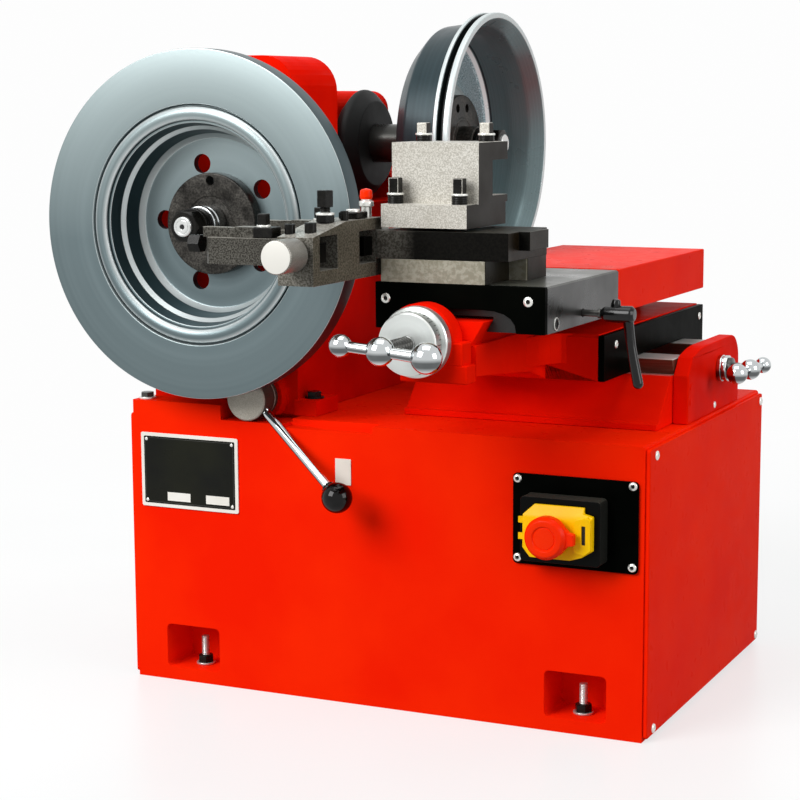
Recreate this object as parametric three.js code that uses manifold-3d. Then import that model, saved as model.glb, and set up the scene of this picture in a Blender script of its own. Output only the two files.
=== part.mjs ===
// A bench brake lathe for drums and discs, in millimetres, +Z up.
// The origin is the middle of the cabinet's underside. The disc faces the front, -Y, and the drum faces +X.
import * as THREE from "three";
import { mergeVertices } from "three/addons/utils/BufferGeometryUtils.js";
import Module from "manifold-3d";

const wasm = await Module();
wasm.setup();

// Fits, and the overrun that every cut has past the face it leaves by
const gap = 0.3;
const running = 0.5;
const over = 2;

// Facets round a turn
const wideSides = 40;
const ringSides = 24;
const shaftSides = 12;
const smallSides = 6;
const ballSides = 10;
const knobSides = 14;
const tipSides = 8;
const cornerSteps = 3;
const roundSteps = 4;
const tightSteps = 2;
const arcSteps = 5;

// Cabinet
const base = {
  width: 538,
  depth: 376,
  height: 270,
  wall: 6,
  topWall: 10,
  cornerRadius: 3,
  padHeight: 11,
  padRight: 104,
  padDepth: 34,
  dipDepth: 3,
  dipRight: 267,
  ribWidth: 14,
  ribHeight: 30,
};
const cover = { thickness: 4, bottom: 3, topInset: 3, frontInset: 2 };
const pocket = {
  inset: 68,
  width: 60,
  bottom: 13,
  height: 44,
  depth: 48,
  wall: 5,
  cornerRadius: 5,
  boltInset: 24,
};
const footBolt = {
  radius: 4,
  bottom: 2,
  top: 42,
  nutAcross: 14,
  nutHeight: 7,
  washerRadius: 9.5,
  washerHeight: 2,
  chamfer: 0.8,
};

// Brake disc and its spindle, whose axis runs along Y
const disc = {
  x: 97,
  z: 186,
  radius: 165,
  frontY: -30,
  thickness: 22,
  faceInner: 114,
  beadOuter: 112,
  beadInner: 98,
  beadRise: 2,
  grooveDepth: 4,
  wallFront: 96,
  stepRadius: 88,
  stepWidth: 4,
  hatInner: 77,
  webY: 14,
  webThickness: 8,
  boreRadius: 30,
  holeCircle: 54,
  holeRadius: 8,
  holeCount: 5,
  firstHoleAngle: 106,
};
const arbor = { radius: 12.5, tipY: -58, tipRadius: 10.5, tipLength: 6, centreHole: 2.6, centreDepth: 5 };
const discFlange = {
  backRadius: 45,
  backThickness: 12,
  spigotLength: 5,
  clampRadius: 48.5,
  clampThickness: 13.5,
  holeOffset: 41,
  holeRadius: 4.5,
  chamfer: 2,
};
const spacer = { radius: 18, length: 22, chamfer: 1.5 };
const arborNut = {
  across: 28,
  hexLength: 15,
  cornerRadius: 17.4,
  cornerFall: 2,
  collarRadius: 16.5,
  collarLength: 12,
  grooveDepth: 1.5,
  grooves: 1,
};
const spindleBody = { radius: 20, rearRadius: 15 };

// Brake drum and its spindle, whose axis runs along X
const drum = {
  y: -117,
  z: 257,
  radius: 132.5,
  rimX: 289,
  depth: 70,
  frontLip: 6,
  grooveWidth: 6,
  grooveDepth: 9,
  rearLip: 5,
  bodyRadius: 123,
  backRadius: 119,
  backRound: 16,
  insideRadius: 114,
  webThickness: 8,
  webRadius: 108,
  hubRadius: 63,
  hubRise: 7,
  hubRimWidth: 5,
  lipChamfer: 1.5,
  boreRadius: 30,
};
const drumFlange = {
  radius: 50,
  thickness: 13,
  backRadius: 45,
  backThickness: 11,
  holeRadius: 4.5,
  holeOffset: 38,
  holeAngles: [72, 108],
};
const drumNose = { spacerLength: 18, spacerRadius: 18, tipBeyondNut: 6 };
const silencer = { radius: 56, left: 121, width: 28, round: 12 };

// Worm drive: one upright worm shaft turns both wheels
const wormTooth = {
  module: 4,
  wheelTeeth: 24,
  wormRadius: 13.5,
  addendum: 2.2,
  dedendum: 3,
  rootShare: 0.3,
  tipShare: 0.2,
};
const wheel = { width: 12, hubRadius: 24, hubLength: 5, room: 1 };
const wormShaft = { radius: 9, turns: 2, coreRadius: 10.2, bottom: -52, top: 302, stepsPerTurn: 8 };
const wormPulley = { radius: 25, bottom: -44, height: 24, grooveDepth: 7, rim: 4 };
const feedPulley = { radius: 20, bottom: 68, height: 12, grooveDepth: 3.5, rim: 2.5, shaftRadius: 6 };
const belt = { thickness: 5, width: 8, feedThickness: 2.5, feedWidth: 3.5 };
const motor = {
  x: 60,
  radius: 62,
  bottom: 40,
  top: -62,
  shaftRadius: 9.5,
  pulleyRadius: 20,
  footReach: 12,
  footWidth: 90,
  finDepth: 5,
  fins: 9,
  capHeight: 24,
  lowCapRadius: 49.6,
  highCapRadius: 55.8,
};

// Headstock casting
const head = {
  left: 7,
  towerHalf: 72,
  front: 38,
  towerBack: 128,
  top: 345,
  towerRound: 34,
  housingRight: 117,
  housingTop: 312,
  housingRound: 20,
  back: -22,
  columnTop: 198,
  wall: 8,
  thinWall: 5,
  bossRadius: 44,
  smallBossRadius: 35,
  padWidth: 22,
  padDepth: 42,
  padHeight: 15,
  shelfHeight: 16,
  shelfWidth: 44,
};
const bearing = { width: 13, bigRadius: 34, smallRadius: 27.5, chamfer: 1.5 };
const leverBoss = { radius: 27, length: 9 };

// Feed lever
const lever = {
  x: 132,
  z: 18,
  reach: 38,
  hubRadius: 21,
  hubLength: 16,
  ringRadius: 20,
  ringGap: 1.2,
  rings: 2,
  shaftRadius: 8,
  rodRadius: 4.6,
  rodTipRadius: 4,
  knobX: 250,
  knobZ: -61,
  knobOut: 40,
  knobRadius: 14.5,
};

// Bed, its right bracket and the lead screw
const bed = {
  left: 262,
  frontY: 82,
  backY: 338,
  footHeight: 6,
  footStep: 5,
  shoulderY: 124,
  shoulderBackY: 296,
  shoulderZ: 46,
  wayTop: 61,
  wayWidth: 40,
  wayUndercut: 6,
  wayInset: 4,
  troughWidth: 44,
  troughDepth: 22,
};
const bracket = {
  outerX: 533,
  thickness: 15,
  frontY: 128,
  backY: 300,
  top: 69,
  slopeY: 142,
  slopeZ: 62,
  sideZ: 46,
  roundRadius: 26,
  crestY: 188,
};
const leadScrew = {
  y: 230,
  z: 41.6,
  radius: 8,
  collarRadius: 13,
  collarLength: 14,
  collarChamfer: 1,
  left: 151,
};
const crank = {
  hubX: 564,
  hubRadius: 10,
  smallRadius: 8,
  largeRadius: 10,
  reach: 36,
  barRadius: 4,
  neckRadius: 6,
  lean: 3,
};
const feedBox = { width: 56, depth: 60, top: 62, cornerRadius: 8, coverRise: 4, coverInset: 5 };

// Saddle and cross slide
const saddle = {
  left: 321,
  right: 472,
  front: 48,
  back: 357,
  bottom: 48,
  top: 91,
  nutLeft: 353,
  nutRight: 424,
  nutDrop: 11.2,
  edgeRound: 3,
};
const endPlate = { thickness: 6, margin: 1 };
const nose = {
  centreX: 390,
  halfWidth: 31,
  neckHalf: 26,
  topHalf: 38,
  frontY: -114,
  neckZ: 97,
  topZ: 117,
  frontBottomZ: 71,
  flare: 26,
  gussetReach: 39,
  gussetRise: 11.7,
  rampReach: 78,
  rampRise: 15.6,
};
const crossNut = { front: 128, length: 36, halfWidth: 11, drop: 12, slotFront: 98, slotBack: 248 };
const screwBracket = { radius: 32, thickness: 20, footDrop: 5, stepHalf: 40, stepBottom: 82 };
const cross = {
  x: 377,
  z: 101,
  radius: 7,
  dialRadius: 30.5,
  dialLength: 24,
  dialFaceRadius: 22,
  dialRimLength: 9,
  dialGroove: 1,
  handleY: -209,
  hubRadius: 12,
  smallRadius: 9.5,
  largeRadius: 13,
  smallReach: 36,
  largeReach: 41,
  barRadius: 4.6,
  tilt: 5,
  rear: 278,
};
const table = {
  left: 321,
  right: 478,
  front: -102,
  splitY: 85,
  back: 358,
  bottom: 107,
  top: 147,
  grooveTop: 120,
  plateThickness: 6,
  cutLeft: 354,
  cutRight: 452,
  cutTop: 126,
  chamfer: 1.5,
  coverWall: 5,
  coverRise: 0.6,
};
const clampLever = {
  y: -9,
  z: 117,
  shaftRadius: 3.6,
  shaftLength: 24,
  hubRadius: 7.6,
  hubLength: 23,
  tipDrop: 60,
  tipOut: 11,
  rootRadius: 4.6,
  tipRadius: 5.6,
  seatDepth: 12,
  tabWidth: 8,
  tabHeight: 13,
  tabThickness: 6,
};

// Tooling on the cross slide
const toolBase = {
  left: 326,
  right: 424,
  front: -102,
  back: -2,
  height: 19.7,
  stepRight: 441,
  stepY: -48,
  round: 1.5,
};
const yokePlate = {
  right: 445,
  back: -12,
  thickness: 24,
  tongueRight: 455,
  tongueFront: -78,
  tongueBack: -34,
};
const yoke = {
  right: 321,
  left: 288,
  front: -217,
  back: -88,
  bottom: 152,
  top: 202,
  frontTop: 192,
  slopeEndY: -157,
  windowWidth: 32,
  windowHeight: 28,
  windowInset: 12,
};
const cutterArm = {
  tipX: 219,
  bottom: 168,
  height: 22,
  frontDepth: 27,
  rearDepth: 28,
  tailWidth: 16,
  tailHeight: 16,
  tailSetback: 13,
  tailEnd: 318,
  bitSize: 8,
  bitLength: 36,
  bitOverhang: 9,
  bitTip: 5,
  noseTaper: 8,
  clampLength: 17.6,
  clampRise: 8.8,
};
const adjuster = { x: 305, z: 178, radius: 14, length: 34, stemRadius: 5, chamfer: 1.5 };
const toolPost = {
  left: 327,
  right: 407,
  front: -102,
  back: -15,
  bottom: 194,
  flangeTop: 214,
  bodyFront: -80,
  top: 266,
  slotFront: -49,
  slotBottom: 220,
  slotTop: 250.5,
  studRadius: 10,
  boltAcross: 9,
  boltRise: 16,
  boltCollar: 6.4,
  collarShare: 0.35,
  boltInsetShares: [0.11, 0.86],
  frontBoltRise: 22,
  bodyOver: 1.8,
};

// Push-button switch
const switchPlate = { left: -128, right: -9, bottom: -115, top: -31.5, thickness: 2.5, cornerRadius: 4 };
const housing = { left: -113, right: -37, bottom: -107, top: -48, depth: 20, cornerRadius: 4 };
const lid = {
  left: -107,
  right: -41,
  bottom: -102,
  top: -53,
  thickness: 9,
  wall: 2.5,
  cornerRadius: 7,
  earWidth: 7,
  earHeight: 12,
};
const stopButton = {
  x: -81,
  z: -80,
  radius: 19.5,
  stemRadius: 8,
  rise: 13,
  crown: 5,
  crownShares: [[0.6, 0.2], [0.9, 0.6]],
  tabWidth: 12,
  tabReach: 34,
};
const startButton = { x: -63, z: -92.5, radius: 5, rise: 3, depth: 8 };

// The tables give heights from the cabinet's top, places along it from its left face and depths from its
// front face. The drum's axis and the headstock's back are given from its rear face and the switch from its
// right face. Here each becomes a place.
const halfWidth = base.width / 2;
const halfDepth = base.depth / 2;

function place(face, rows) {
  for (const [part, ...keys] of rows) {
    for (const key of keys) part[key] += face;
  }
}

place(base.height, [
  [disc, "z"],
  [drum, "z"],
  [wormShaft, "bottom", "top"],
  [wormPulley, "bottom"],
  [feedPulley, "bottom"],
  [motor, "top"],
  [head, "top", "housingTop", "columnTop"],
  [lever, "z", "knobZ"],
  [bed, "shoulderZ", "wayTop"],
  [bracket, "top", "slopeZ", "sideZ"],
  [leadScrew, "z"],
  [feedBox, "top"],
  [saddle, "bottom", "top"],
  [nose, "neckZ", "topZ", "frontBottomZ"],
  [screwBracket, "stepBottom"],
  [cross, "z"],
  [table, "bottom", "top", "grooveTop", "cutTop"],
  [clampLever, "z"],
  [yoke, "bottom", "top", "frontTop"],
  [cutterArm, "bottom"],
  [adjuster, "z"],
  [toolPost, "bottom", "flangeTop", "top", "slotBottom", "slotTop"],
  [switchPlate, "bottom", "top"],
  [housing, "bottom", "top"],
  [lid, "bottom", "top"],
  [stopButton, "z"],
  [startButton, "z"],
]);
place(halfDepth, [
  [drum, "y"],
  [head, "back"],
]);
place(-halfDepth, [
  [disc, "frontY", "webY"],
  [arbor, "tipY"],
  [head, "front", "towerBack"],
  [bed, "frontY", "backY", "shoulderY", "shoulderBackY"],
  [bracket, "frontY", "backY", "slopeY", "crestY"],
  [leadScrew, "y"],
  [saddle, "front", "back"],
  [nose, "frontY"],
  [crossNut, "front", "slotFront", "slotBack"],
  [cross, "handleY", "rear"],
  [table, "front", "splitY", "back"],
  [clampLever, "y"],
  [toolBase, "front", "back", "stepY"],
  [yokePlate, "back", "tongueFront", "tongueBack"],
  [yoke, "front", "back", "slopeEndY"],
  [toolPost, "front", "back", "bodyFront", "slotFront"],
]);
place(-halfWidth, [
  [base, "padRight", "dipRight"],
  [disc, "x"],
  [drum, "rimX"],
  [silencer, "left"],
  [head, "left", "housingRight"],
  [lever, "x", "knobX"],
  [bed, "left"],
  [bracket, "outerX"],
  [leadScrew, "left"],
  [crank, "hubX"],
  [saddle, "left", "right", "nutLeft", "nutRight"],
  [nose, "centreX"],
  [cross, "x"],
  [table, "left", "right", "cutLeft", "cutRight"],
  [toolBase, "left", "right", "stepRight"],
  [yokePlate, "right", "tongueRight"],
  [yoke, "right", "left"],
  [cutterArm, "tipX", "tailEnd"],
  [adjuster, "x"],
  [toolPost, "left", "right"],
]);
place(halfWidth, [
  [switchPlate, "left", "right"],
  [housing, "left", "right"],
  [lid, "left", "right"],
  [stopButton, "x"],
  [startButton, "x"],
]);

lever.frontY = head.front - lever.reach;
lever.knobY = lever.frontY - lever.knobOut;

const cabinetHalf = halfWidth - cover.thickness - gap;
const seatZ = base.height + gap;
const pitchRadius = (wormTooth.module * wormTooth.wheelTeeth) / 2;
const wormDistance = pitchRadius + wormTooth.wormRadius;
const worm = { x: disc.x - wormDistance, y: drum.y + wormDistance };
const discRearY = head.back - head.wall - gap;
const drumLeftX = head.left + head.thinWall + gap;
const leadLine = [0, leadScrew.y, leadScrew.z];
const crossLine = [cross.x, 0, cross.z];
const leverLine = [lever.x, 0, lever.z];
const adjusterLine = [adjuster.x, 0, adjuster.z];

const paintRed = { color: 0xf22000, roughness: 0.3, metalness: 0 };
const paintBlack = { color: 0x1b1b1a, roughness: 0.4, metalness: 0.3 };
const satinSteel = { color: 0x7f8a8e, roughness: 0.4, metalness: 0.8 };
const toolSteel = { color: 0x9a9790, roughness: 0.35, metalness: 0.9 };
const darkSteel = { color: 0x35322f, roughness: 0.5, metalness: 0.7 };
const chrome = { color: 0xd8dadb, roughness: 0.1, metalness: 1 };
const castIron = { color: 0x4d5254, roughness: 0.6, metalness: 0.5 };
const bronze = { color: 0xb08545, roughness: 0.35, metalness: 0.9 };
const rubber = { color: 0x161616, roughness: 0.8, metalness: 0 };
const yellow = { color: 0xffd000, roughness: 0.35, metalness: 0 };
const buttonRed = { color: 0xf03010, roughness: 0.3, metalness: 0 };
const buttonGreen = { color: 0x159045, roughness: 0.35, metalness: 0 };
const handleBlack = { color: 0x121212, roughness: 0.35, metalness: 0.2 };
const ballBlack = { color: 0x0c0c0c, roughness: 0.12, metalness: 0 };

// Turns a three.js geometry into a solid with its faces out, whichever way its ends were given.
function solid(geometry) {
  const bare = geometry.clone();
  bare.deleteAttribute("normal");
  bare.deleteAttribute("uv");
  const merged = mergeVertices(bare, 1e-4);
  const vertProperties = new Float32Array(merged.attributes.position.array);
  const corners = merged.index.array;
  const kept = [];
  for (let i = 0; i < corners.length; i += 3) {
    const [a, b, c] = [corners[i], corners[i + 1], corners[i + 2]];
    if (a !== b && b !== c && c !== a) kept.push(a, b, c);
  }
  const make = (list) =>
    new wasm.Manifold(new wasm.Mesh({ numProp: 3, vertProperties, triVerts: new Uint32Array(list) }));
  const made = make(kept);
  return made.volume() < 0 ? make(kept.toReversed()) : made;
}

function join(...solids) {
  return solids.reduce((whole, next) => whole.add(next));
}

function cut(body, ...tools) {
  return tools.reduce((rest, tool) => rest.subtract(tool), body);
}

// A box between two corners.
function block([x0, y0, z0], [x1, y1, z1]) {
  const box = new THREE.BoxGeometry(x1 - x0, y1 - y0, z1 - z0);
  return solid(box.translate((x0 + x1) / 2, (y0 + y1) / 2, (z0 + z1) / 2));
}

// Lays a geometry made along Y so that it runs along the named axis.
function alongAxis(geometry, axis) {
  if (axis === "x") return geometry.rotateZ(-Math.PI / 2);
  if (axis === "z") return geometry.rotateX(Math.PI / 2);
  return geometry;
}

// Turns a profile of [radius, place along the axis] about an axis through a centre.
function revolve(axis, centre, profile, sides = shaftSides) {
  const points = profile.map(([radius, along]) => new THREE.Vector2(radius, along));
  const turned = alongAxis(new THREE.LatheGeometry(points, sides), axis);
  return solid(turned.translate(...centre));
}

// A plain cylinder from one place on its axis to another.
function rod(axis, centre, radius, from, to, sides = shaftSides) {
  return revolve(axis, centre, [[0, from], [radius, from], [radius, to], [0, to]], sides);
}

// A cylinder with its two edges chamfered.
function drumRod(axis, centre, radius, from, to, chamfer, sides = shaftSides) {
  const outline = [
    [0, from],
    [radius - chamfer, from],
    [radius, from + chamfer],
    [radius, to - chamfer],
    [radius - chamfer, to],
    [0, to],
  ];
  return revolve(axis, centre, outline, sides);
}

// A flat outline pushed along an axis: the outline is (x, y) for z, (x, z) for y and (y, z) for x.
function prism(axis, outline, from, to, segments = arcSteps) {
  const corners = outline instanceof THREE.Shape ? [] : outline.map((p) => new THREE.Vector2(...p));
  const shape = outline instanceof THREE.Shape ? outline : new THREE.Shape(corners);
  const settings = { depth: to - from, bevelEnabled: false, curveSegments: segments };
  const geometry = new THREE.ExtrudeGeometry(shape, settings);
  geometry.translate(0, 0, from);
  const turn = new THREE.Matrix4();
  if (axis === "y") turn.set(1, 0, 0, 0, 0, 0, 1, 0, 0, 1, 0, 0, 0, 0, 0, 1);
  if (axis === "x") turn.set(0, 0, 1, 0, 1, 0, 0, 0, 0, 1, 0, 0, 0, 0, 0, 1);
  return solid(geometry.applyMatrix4(turn));
}

// A rectangle with round corners, as a shape. Radii are given from the lower left, counterclockwise.
function roundedRectangle(left, right, bottom, top, radii) {
  const [a, b, c, d] = Array.isArray(radii) ? radii : [radii, radii, radii, radii];
  const shape = new THREE.Shape();
  shape.moveTo(left + a, bottom);
  shape.lineTo(right - b, bottom);
  if (b) shape.absarc(right - b, bottom + b, b, -Math.PI / 2, 0, false);
  shape.lineTo(right, top - c);
  if (c) shape.absarc(right - c, top - c, c, 0, Math.PI / 2, false);
  shape.lineTo(left + d, top);
  if (d) shape.absarc(left + d, top - d, d, Math.PI / 2, Math.PI, false);
  shape.lineTo(left, bottom + a);
  if (a) shape.absarc(left + a, bottom + a, a, Math.PI, Math.PI * 1.5, false);
  return shape;
}

function hexagon(across) {
  const corner = across / Math.sqrt(3);
  const angles = Array.from({ length: 6 }, (_, i) => (i * Math.PI) / 3);
  return angles.map((angle) => [corner * Math.cos(angle), corner * Math.sin(angle)]);
}

function shifted(outline, dx, dy) {
  return outline.map(([x, y]) => [x + dx, y + dy]);
}

function ball(centre, radius, sides = ballSides) {
  const sphere = new THREE.SphereGeometry(radius, sides, Math.ceil(sides / 2));
  return solid(sphere.translate(...centre));
}

// A round bar between two points, which may taper.
function strut(start, end, startRadius, endRadius = startRadius, sides = tipSides) {
  const a = new THREE.Vector3(...start);
  const b = new THREE.Vector3(...end);
  const bar = new THREE.CylinderGeometry(endRadius, startRadius, a.distanceTo(b), sides);
  const heading = b.clone().sub(a).normalize();
  const turn = new THREE.Quaternion().setFromUnitVectors(new THREE.Vector3(0, 1, 0), heading);
  bar.applyQuaternion(turn);
  const middle = a.clone().add(b).multiplyScalar(0.5);
  return solid(bar.translate(middle.x, middle.y, middle.z));
}

const lathe = new THREE.Group();
lathe.name = "brake_lathe";

// Adds a solid to the group as a named mesh. Its geometry is kept about its seat, where the mesh is placed.
function add(name, body, finish, seat = [0, 0, 0]) {
  const data = body.getMesh();
  const geometry = new THREE.BufferGeometry();
  const step = data.numProp;
  const places = new Float32Array((data.vertProperties.length / step) * 3);
  for (let i = 0; i < places.length / 3; i++) {
    places.set(data.vertProperties.subarray(i * step, i * step + 3), i * 3);
  }
  geometry.setAttribute("position", new THREE.BufferAttribute(places, 3));
  geometry.setIndex(new THREE.BufferAttribute(new Uint32Array(data.triVerts), 1));
  geometry.translate(-seat[0], -seat[1], -seat[2]);
  geometry.computeVertexNormals();
  const mesh = new THREE.Mesh(geometry, new THREE.MeshStandardMaterial(finish));
  mesh.name = name;
  mesh.position.set(...seat);
  lathe.add(mesh);
  return mesh;
}

// Cabinet: a deep box open underneath, with a niche for each foot bolt
function footPocket(side, frontSign) {
  const x = side * (halfWidth - pocket.inset);
  const half = pocket.width / 2;
  const outer = half + pocket.wall;
  const face = frontSign * halfDepth;
  const inner = face - frontSign * pocket.depth;
  const back = inner - frontSign * pocket.wall;
  const top = pocket.bottom + pocket.height;
  const opening = roundedRectangle(x - half, x + half, pocket.bottom, top, pocket.cornerRadius);
  const niche = block([x - outer, face, 0], [x + outer, back, top + pocket.wall]);
  const hollow = prism("y", opening, inner, face + frontSign * over, tightSteps);
  const boltY = face - frontSign * pocket.boltInset;
  const hole = rod("z", [x, boltY, 0], footBolt.radius + gap, -over, pocket.bottom + over, shaftSides);
  return { niche, hollow, hole, x, boltY };
}

const pockets = {};
for (const [end, frontSign] of [["front", -1], ["rear", 1]]) {
  for (const [hand, side] of [["left", -1], ["right", 1]]) {
    pockets[end + "_" + hand] = footPocket(side, frontSign);
  }
}

function cabinet() {
  const roundings = [0, 0, base.cornerRadius, base.cornerRadius];
  const outline = roundedRectangle(-cabinetHalf, cabinetHalf, 0, base.height, roundings);
  let body = prism("y", outline, -halfDepth, halfDepth, tightSteps);
  const padTop = base.height + base.padHeight;
  const pad = block(
    [-cabinetHalf, -halfDepth, base.height - over],
    [base.padRight, base.padDepth - halfDepth, padTop],
  );
  const inside = cabinetHalf - base.wall;
  const topInside = base.height - base.topWall;
  const hollow = block(
    [-inside, base.wall - halfDepth, -over],
    [inside, halfDepth - base.wall, topInside],
  );
  const half = base.ribWidth / 2;
  const rib = block([-half, base.wall / 2 - halfDepth, 0], [half, halfDepth - base.wall / 2, base.ribHeight]);
  body = join(cut(join(body, pad), hollow), rib);
  for (const { niche, hollow: opening, hole } of Object.values(pockets)) {
    body = cut(join(body, niche), opening, hole);
  }
  const hubBottom = lever.z - lever.hubRadius;
  const recess = block(
    [base.padRight, -halfDepth - over, hubBottom - running],
    [lever.x + 2 * lever.hubRadius, head.front + leverBoss.length, base.height + base.padHeight + over],
  );
  const dip = block(
    [lever.x + 2 * lever.hubRadius - over, -halfDepth - over, hubBottom - running - base.dipDepth],
    [base.dipRight, base.padDepth / 2 - halfDepth, base.height + over],
  );
  const shaftHole = rod("z", [worm.x, worm.y, 0], wormShaft.radius + over, topInside - over, seatZ);
  return cut(body, recess, dip, shaftHole);
}

function sideCover(side) {
  const top = base.height - cover.topInset;
  const front = cover.frontInset - halfDepth;
  const outline = roundedRectangle(front, halfDepth, cover.bottom, top, base.cornerRadius);
  const inner = side * (halfWidth - cover.thickness);
  const outer = side * halfWidth;
  return prism("x", outline, inner, outer, tightSteps);
}

function footBoltSolid({ x, boltY }) {
  const centre = [x, boltY, 0];
  const floor = pocket.bottom + gap;
  const { radius, bottom, top, chamfer } = footBolt;
  const shank = drumRod("z", centre, radius, bottom, top, chamfer, smallSides);
  const washer = rod("z", centre, footBolt.washerRadius, floor, floor + footBolt.washerHeight);
  const nutBottom = floor + footBolt.washerHeight - gap;
  const nutOutline = shifted(hexagon(footBolt.nutAcross), x, boltY);
  const nut = prism("z", nutOutline, nutBottom, nutBottom + footBolt.nutHeight);
  return join(shank, washer, nut);
}

add("base_cabinet", cabinet(), paintRed);
add("side_cover_right", sideCover(1), paintRed);
add("side_cover_left", sideCover(-1), paintRed);
for (const [place, niche] of Object.entries(pockets)) {
  add("foot_bolt_" + place, footBoltSolid(niche), chrome, [niche.x, niche.boltY, 0]);
}

// Headstock: a tower for the disc spindle, a housing behind it for the drum spindle, and a column below
const discAxis = [disc.x, 0, disc.z];
const drumAxis = [0, drum.y, drum.z];
const wormAxis = [worm.x, worm.y, 0];
const towerRight = disc.x + head.towerHalf;

const wheelTip = pitchRadius + wormTooth.addendum;
const wheelRoomFront = worm.y - wheel.width / 2 - wheel.room;

function headstockShell() {
  const towerRoundings = [0, 0, head.towerRound, head.towerRound];
  const towerOutline = roundedRectangle(head.left, towerRight, seatZ, head.top, towerRoundings);
  const tower = prism("y", towerOutline, head.front, head.towerBack);
  const roundings = [0, 0, head.housingRound, head.housingRound];
  const housingOutline = roundedRectangle(head.left, head.housingRight, seatZ, head.housingTop, roundings);
  const housingBody = prism("y", housingOutline, head.towerBack - over, head.back, roundSteps);
  const column = block(
    [head.housingRight - over, head.towerBack - over, seatZ],
    [towerRight, head.back, head.columnTop],
  );
  const pad = block(
    [towerRight - over, head.front - head.padDepth / 10, seatZ],
    [towerRight + head.padWidth, head.front + head.padDepth, seatZ + head.padHeight],
  );
  const boss = revolve("y", leverLine, [
    [0, head.front - leverBoss.length],
    [leverBoss.radius - leverBoss.length / 3, head.front - leverBoss.length],
    [leverBoss.radius, head.front - leverBoss.length / 2],
    [leverBoss.radius, head.front + over],
    [0, head.front + over],
  ], ringSides);
  const belowSeat = block(
    [lever.x - 2 * leverBoss.radius, head.front - 2 * leverBoss.length, base.height - 2 * leverBoss.radius],
    [lever.x + 2 * leverBoss.radius, head.front + over, seatZ],
  );
  return join(tower, housingBody, column, pad, cut(boss, belowSeat), wheelLobe());
}

// The round case over the disc's worm wheel, hollowed where the drum's ring turns.
function wheelLobe() {
  const outer = wheelTip + wheel.room + head.thinWall;
  const lobe = rod("y", discAxis, outer, wheelRoomFront - head.thinWall, head.back, ringSides);
  const ringRoom = rod("x", drumAxis, silencer.radius + running, head.housingRight, towerRight, ringSides);
  return cut(lobe, ringRoom);
}

function headstockHollow() {
  const { wall, thinWall } = head;
  const low = base.height - over;
  const towerRoom = block(
    [head.left + thinWall, head.front + wall, low],
    [towerRight - wall, head.towerBack + over, head.top - wall - head.towerRound / 3],
  );
  const housingRoom = block(
    [head.left + thinWall, head.towerBack, low],
    [head.housingRight - wall, head.back - wall, head.housingTop - wall],
  );
  const columnRoom = block(
    [head.housingRight - wall - over, head.towerBack, low],
    [towerRight - wall, head.back - wall, head.columnTop - wall],
  );
  const wheelRoomBack = worm.y + wheel.width / 2 + wheel.hubLength + wheel.room;
  const discWheelRoom = rod("y", discAxis, wheelTip + wheel.room, wheelRoomFront, wheelRoomBack, ringSides);
  const reach = wheel.width / 2 + wheel.room;
  const drumWheelRoom = rod("x", drumAxis, wheelTip + wheel.room, worm.x - reach, worm.x + reach, ringSides);
  const spindleRoom = rod("y", discAxis, spindleBody.rearRadius + wheel.room, head.towerBack, worm.y);
  return join(towerRoom, housingRoom, columnRoom, discWheelRoom, drumWheelRoom, spindleRoom);
}

const frontBearingY = head.front + head.wall / 2;
const rearBearingY = discRearY - bearing.width;
const rightBearingX = head.housingRight - head.wall / 2 - bearing.width;
const leftBearingX = drumLeftX;

function headstock() {
  let body = cut(headstockShell(), headstockHollow());
  const { bossRadius, smallBossRadius, front, back, housingRight, left, wall } = head;
  const frontBoss = rod("y", discAxis, bossRadius, front + over, frontBearingY + bearing.width + over);
  const rearBoss = rod("y", discAxis, smallBossRadius, rearBearingY - over, back - over);
  const rightBoss = rod("x", drumAxis, bossRadius, rightBearingX - over, housingRight - over);
  const leftBoss = rod("x", drumAxis, smallBossRadius, left + over, leftBearingX + bearing.width);
  const shelfRight = worm.x + head.shelfWidth / 2;
  const shelfFront = worm.y - head.shelfWidth / 2;
  const lowShelf = block(
    [head.left + over, shelfFront, feedPulley.bottom - 2 * head.shelfHeight],
    [shelfRight, head.back - over, feedPulley.bottom - head.shelfHeight],
  );
  const highShelf = block(
    [head.left + over, shelfFront, head.housingTop - head.wall - head.shelfHeight],
    [shelfRight, head.back - over, head.housingTop - over],
  );
  body = join(body, frontBoss, rearBoss, rightBoss, leftBoss, lowShelf, highShelf);
  const bigSeat = bearing.bigRadius + gap;
  const smallSeat = bearing.smallRadius + gap;
  const shaftRoom = spindleBody.radius + 2 * running;
  const farIn = bearing.width + 2 * over;
  return cut(
    body,
    rod("y", discAxis, bigSeat, frontBearingY, frontBearingY + farIn, ringSides),
    rod("y", discAxis, shaftRoom, front - over, frontBearingY + over),
    rod("y", discAxis, smallSeat, rearBearingY - 2 * over, discRearY, ringSides),
    rod("x", drumAxis, bigSeat, rightBearingX - 2 * over, rightBearingX + bearing.width, ringSides),
    rod("x", drumAxis, shaftRoom, rightBearingX, housingRight + over),
    rod("x", drumAxis, smallSeat, leftBearingX, leftBearingX + farIn, ringSides),
    rod("z", wormAxis, wormShaft.radius + gap, base.height, wormShaft.top + 2 * gap),
    rod("y", leverLine, lever.shaftRadius + gap, front - 2 * leverBoss.length, front + 2 * wall),
    rod("x", leadLine, leadScrew.radius + 2 * gap, towerRight - 2 * wall, towerRight + over),
  );
}

// A bearing as a ring, its outer race chamfered where it enters its seat.
function bearingRing(axis, centre, outer, inner, from) {
  const to = from + bearing.width;
  const profile = [
    [inner, from],
    [outer - bearing.chamfer, from],
    [outer, from + bearing.chamfer],
    [outer, to],
    [inner, to],
    [inner, from],
  ];
  return revolve(axis, centre, profile, ringSides);
}

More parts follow.
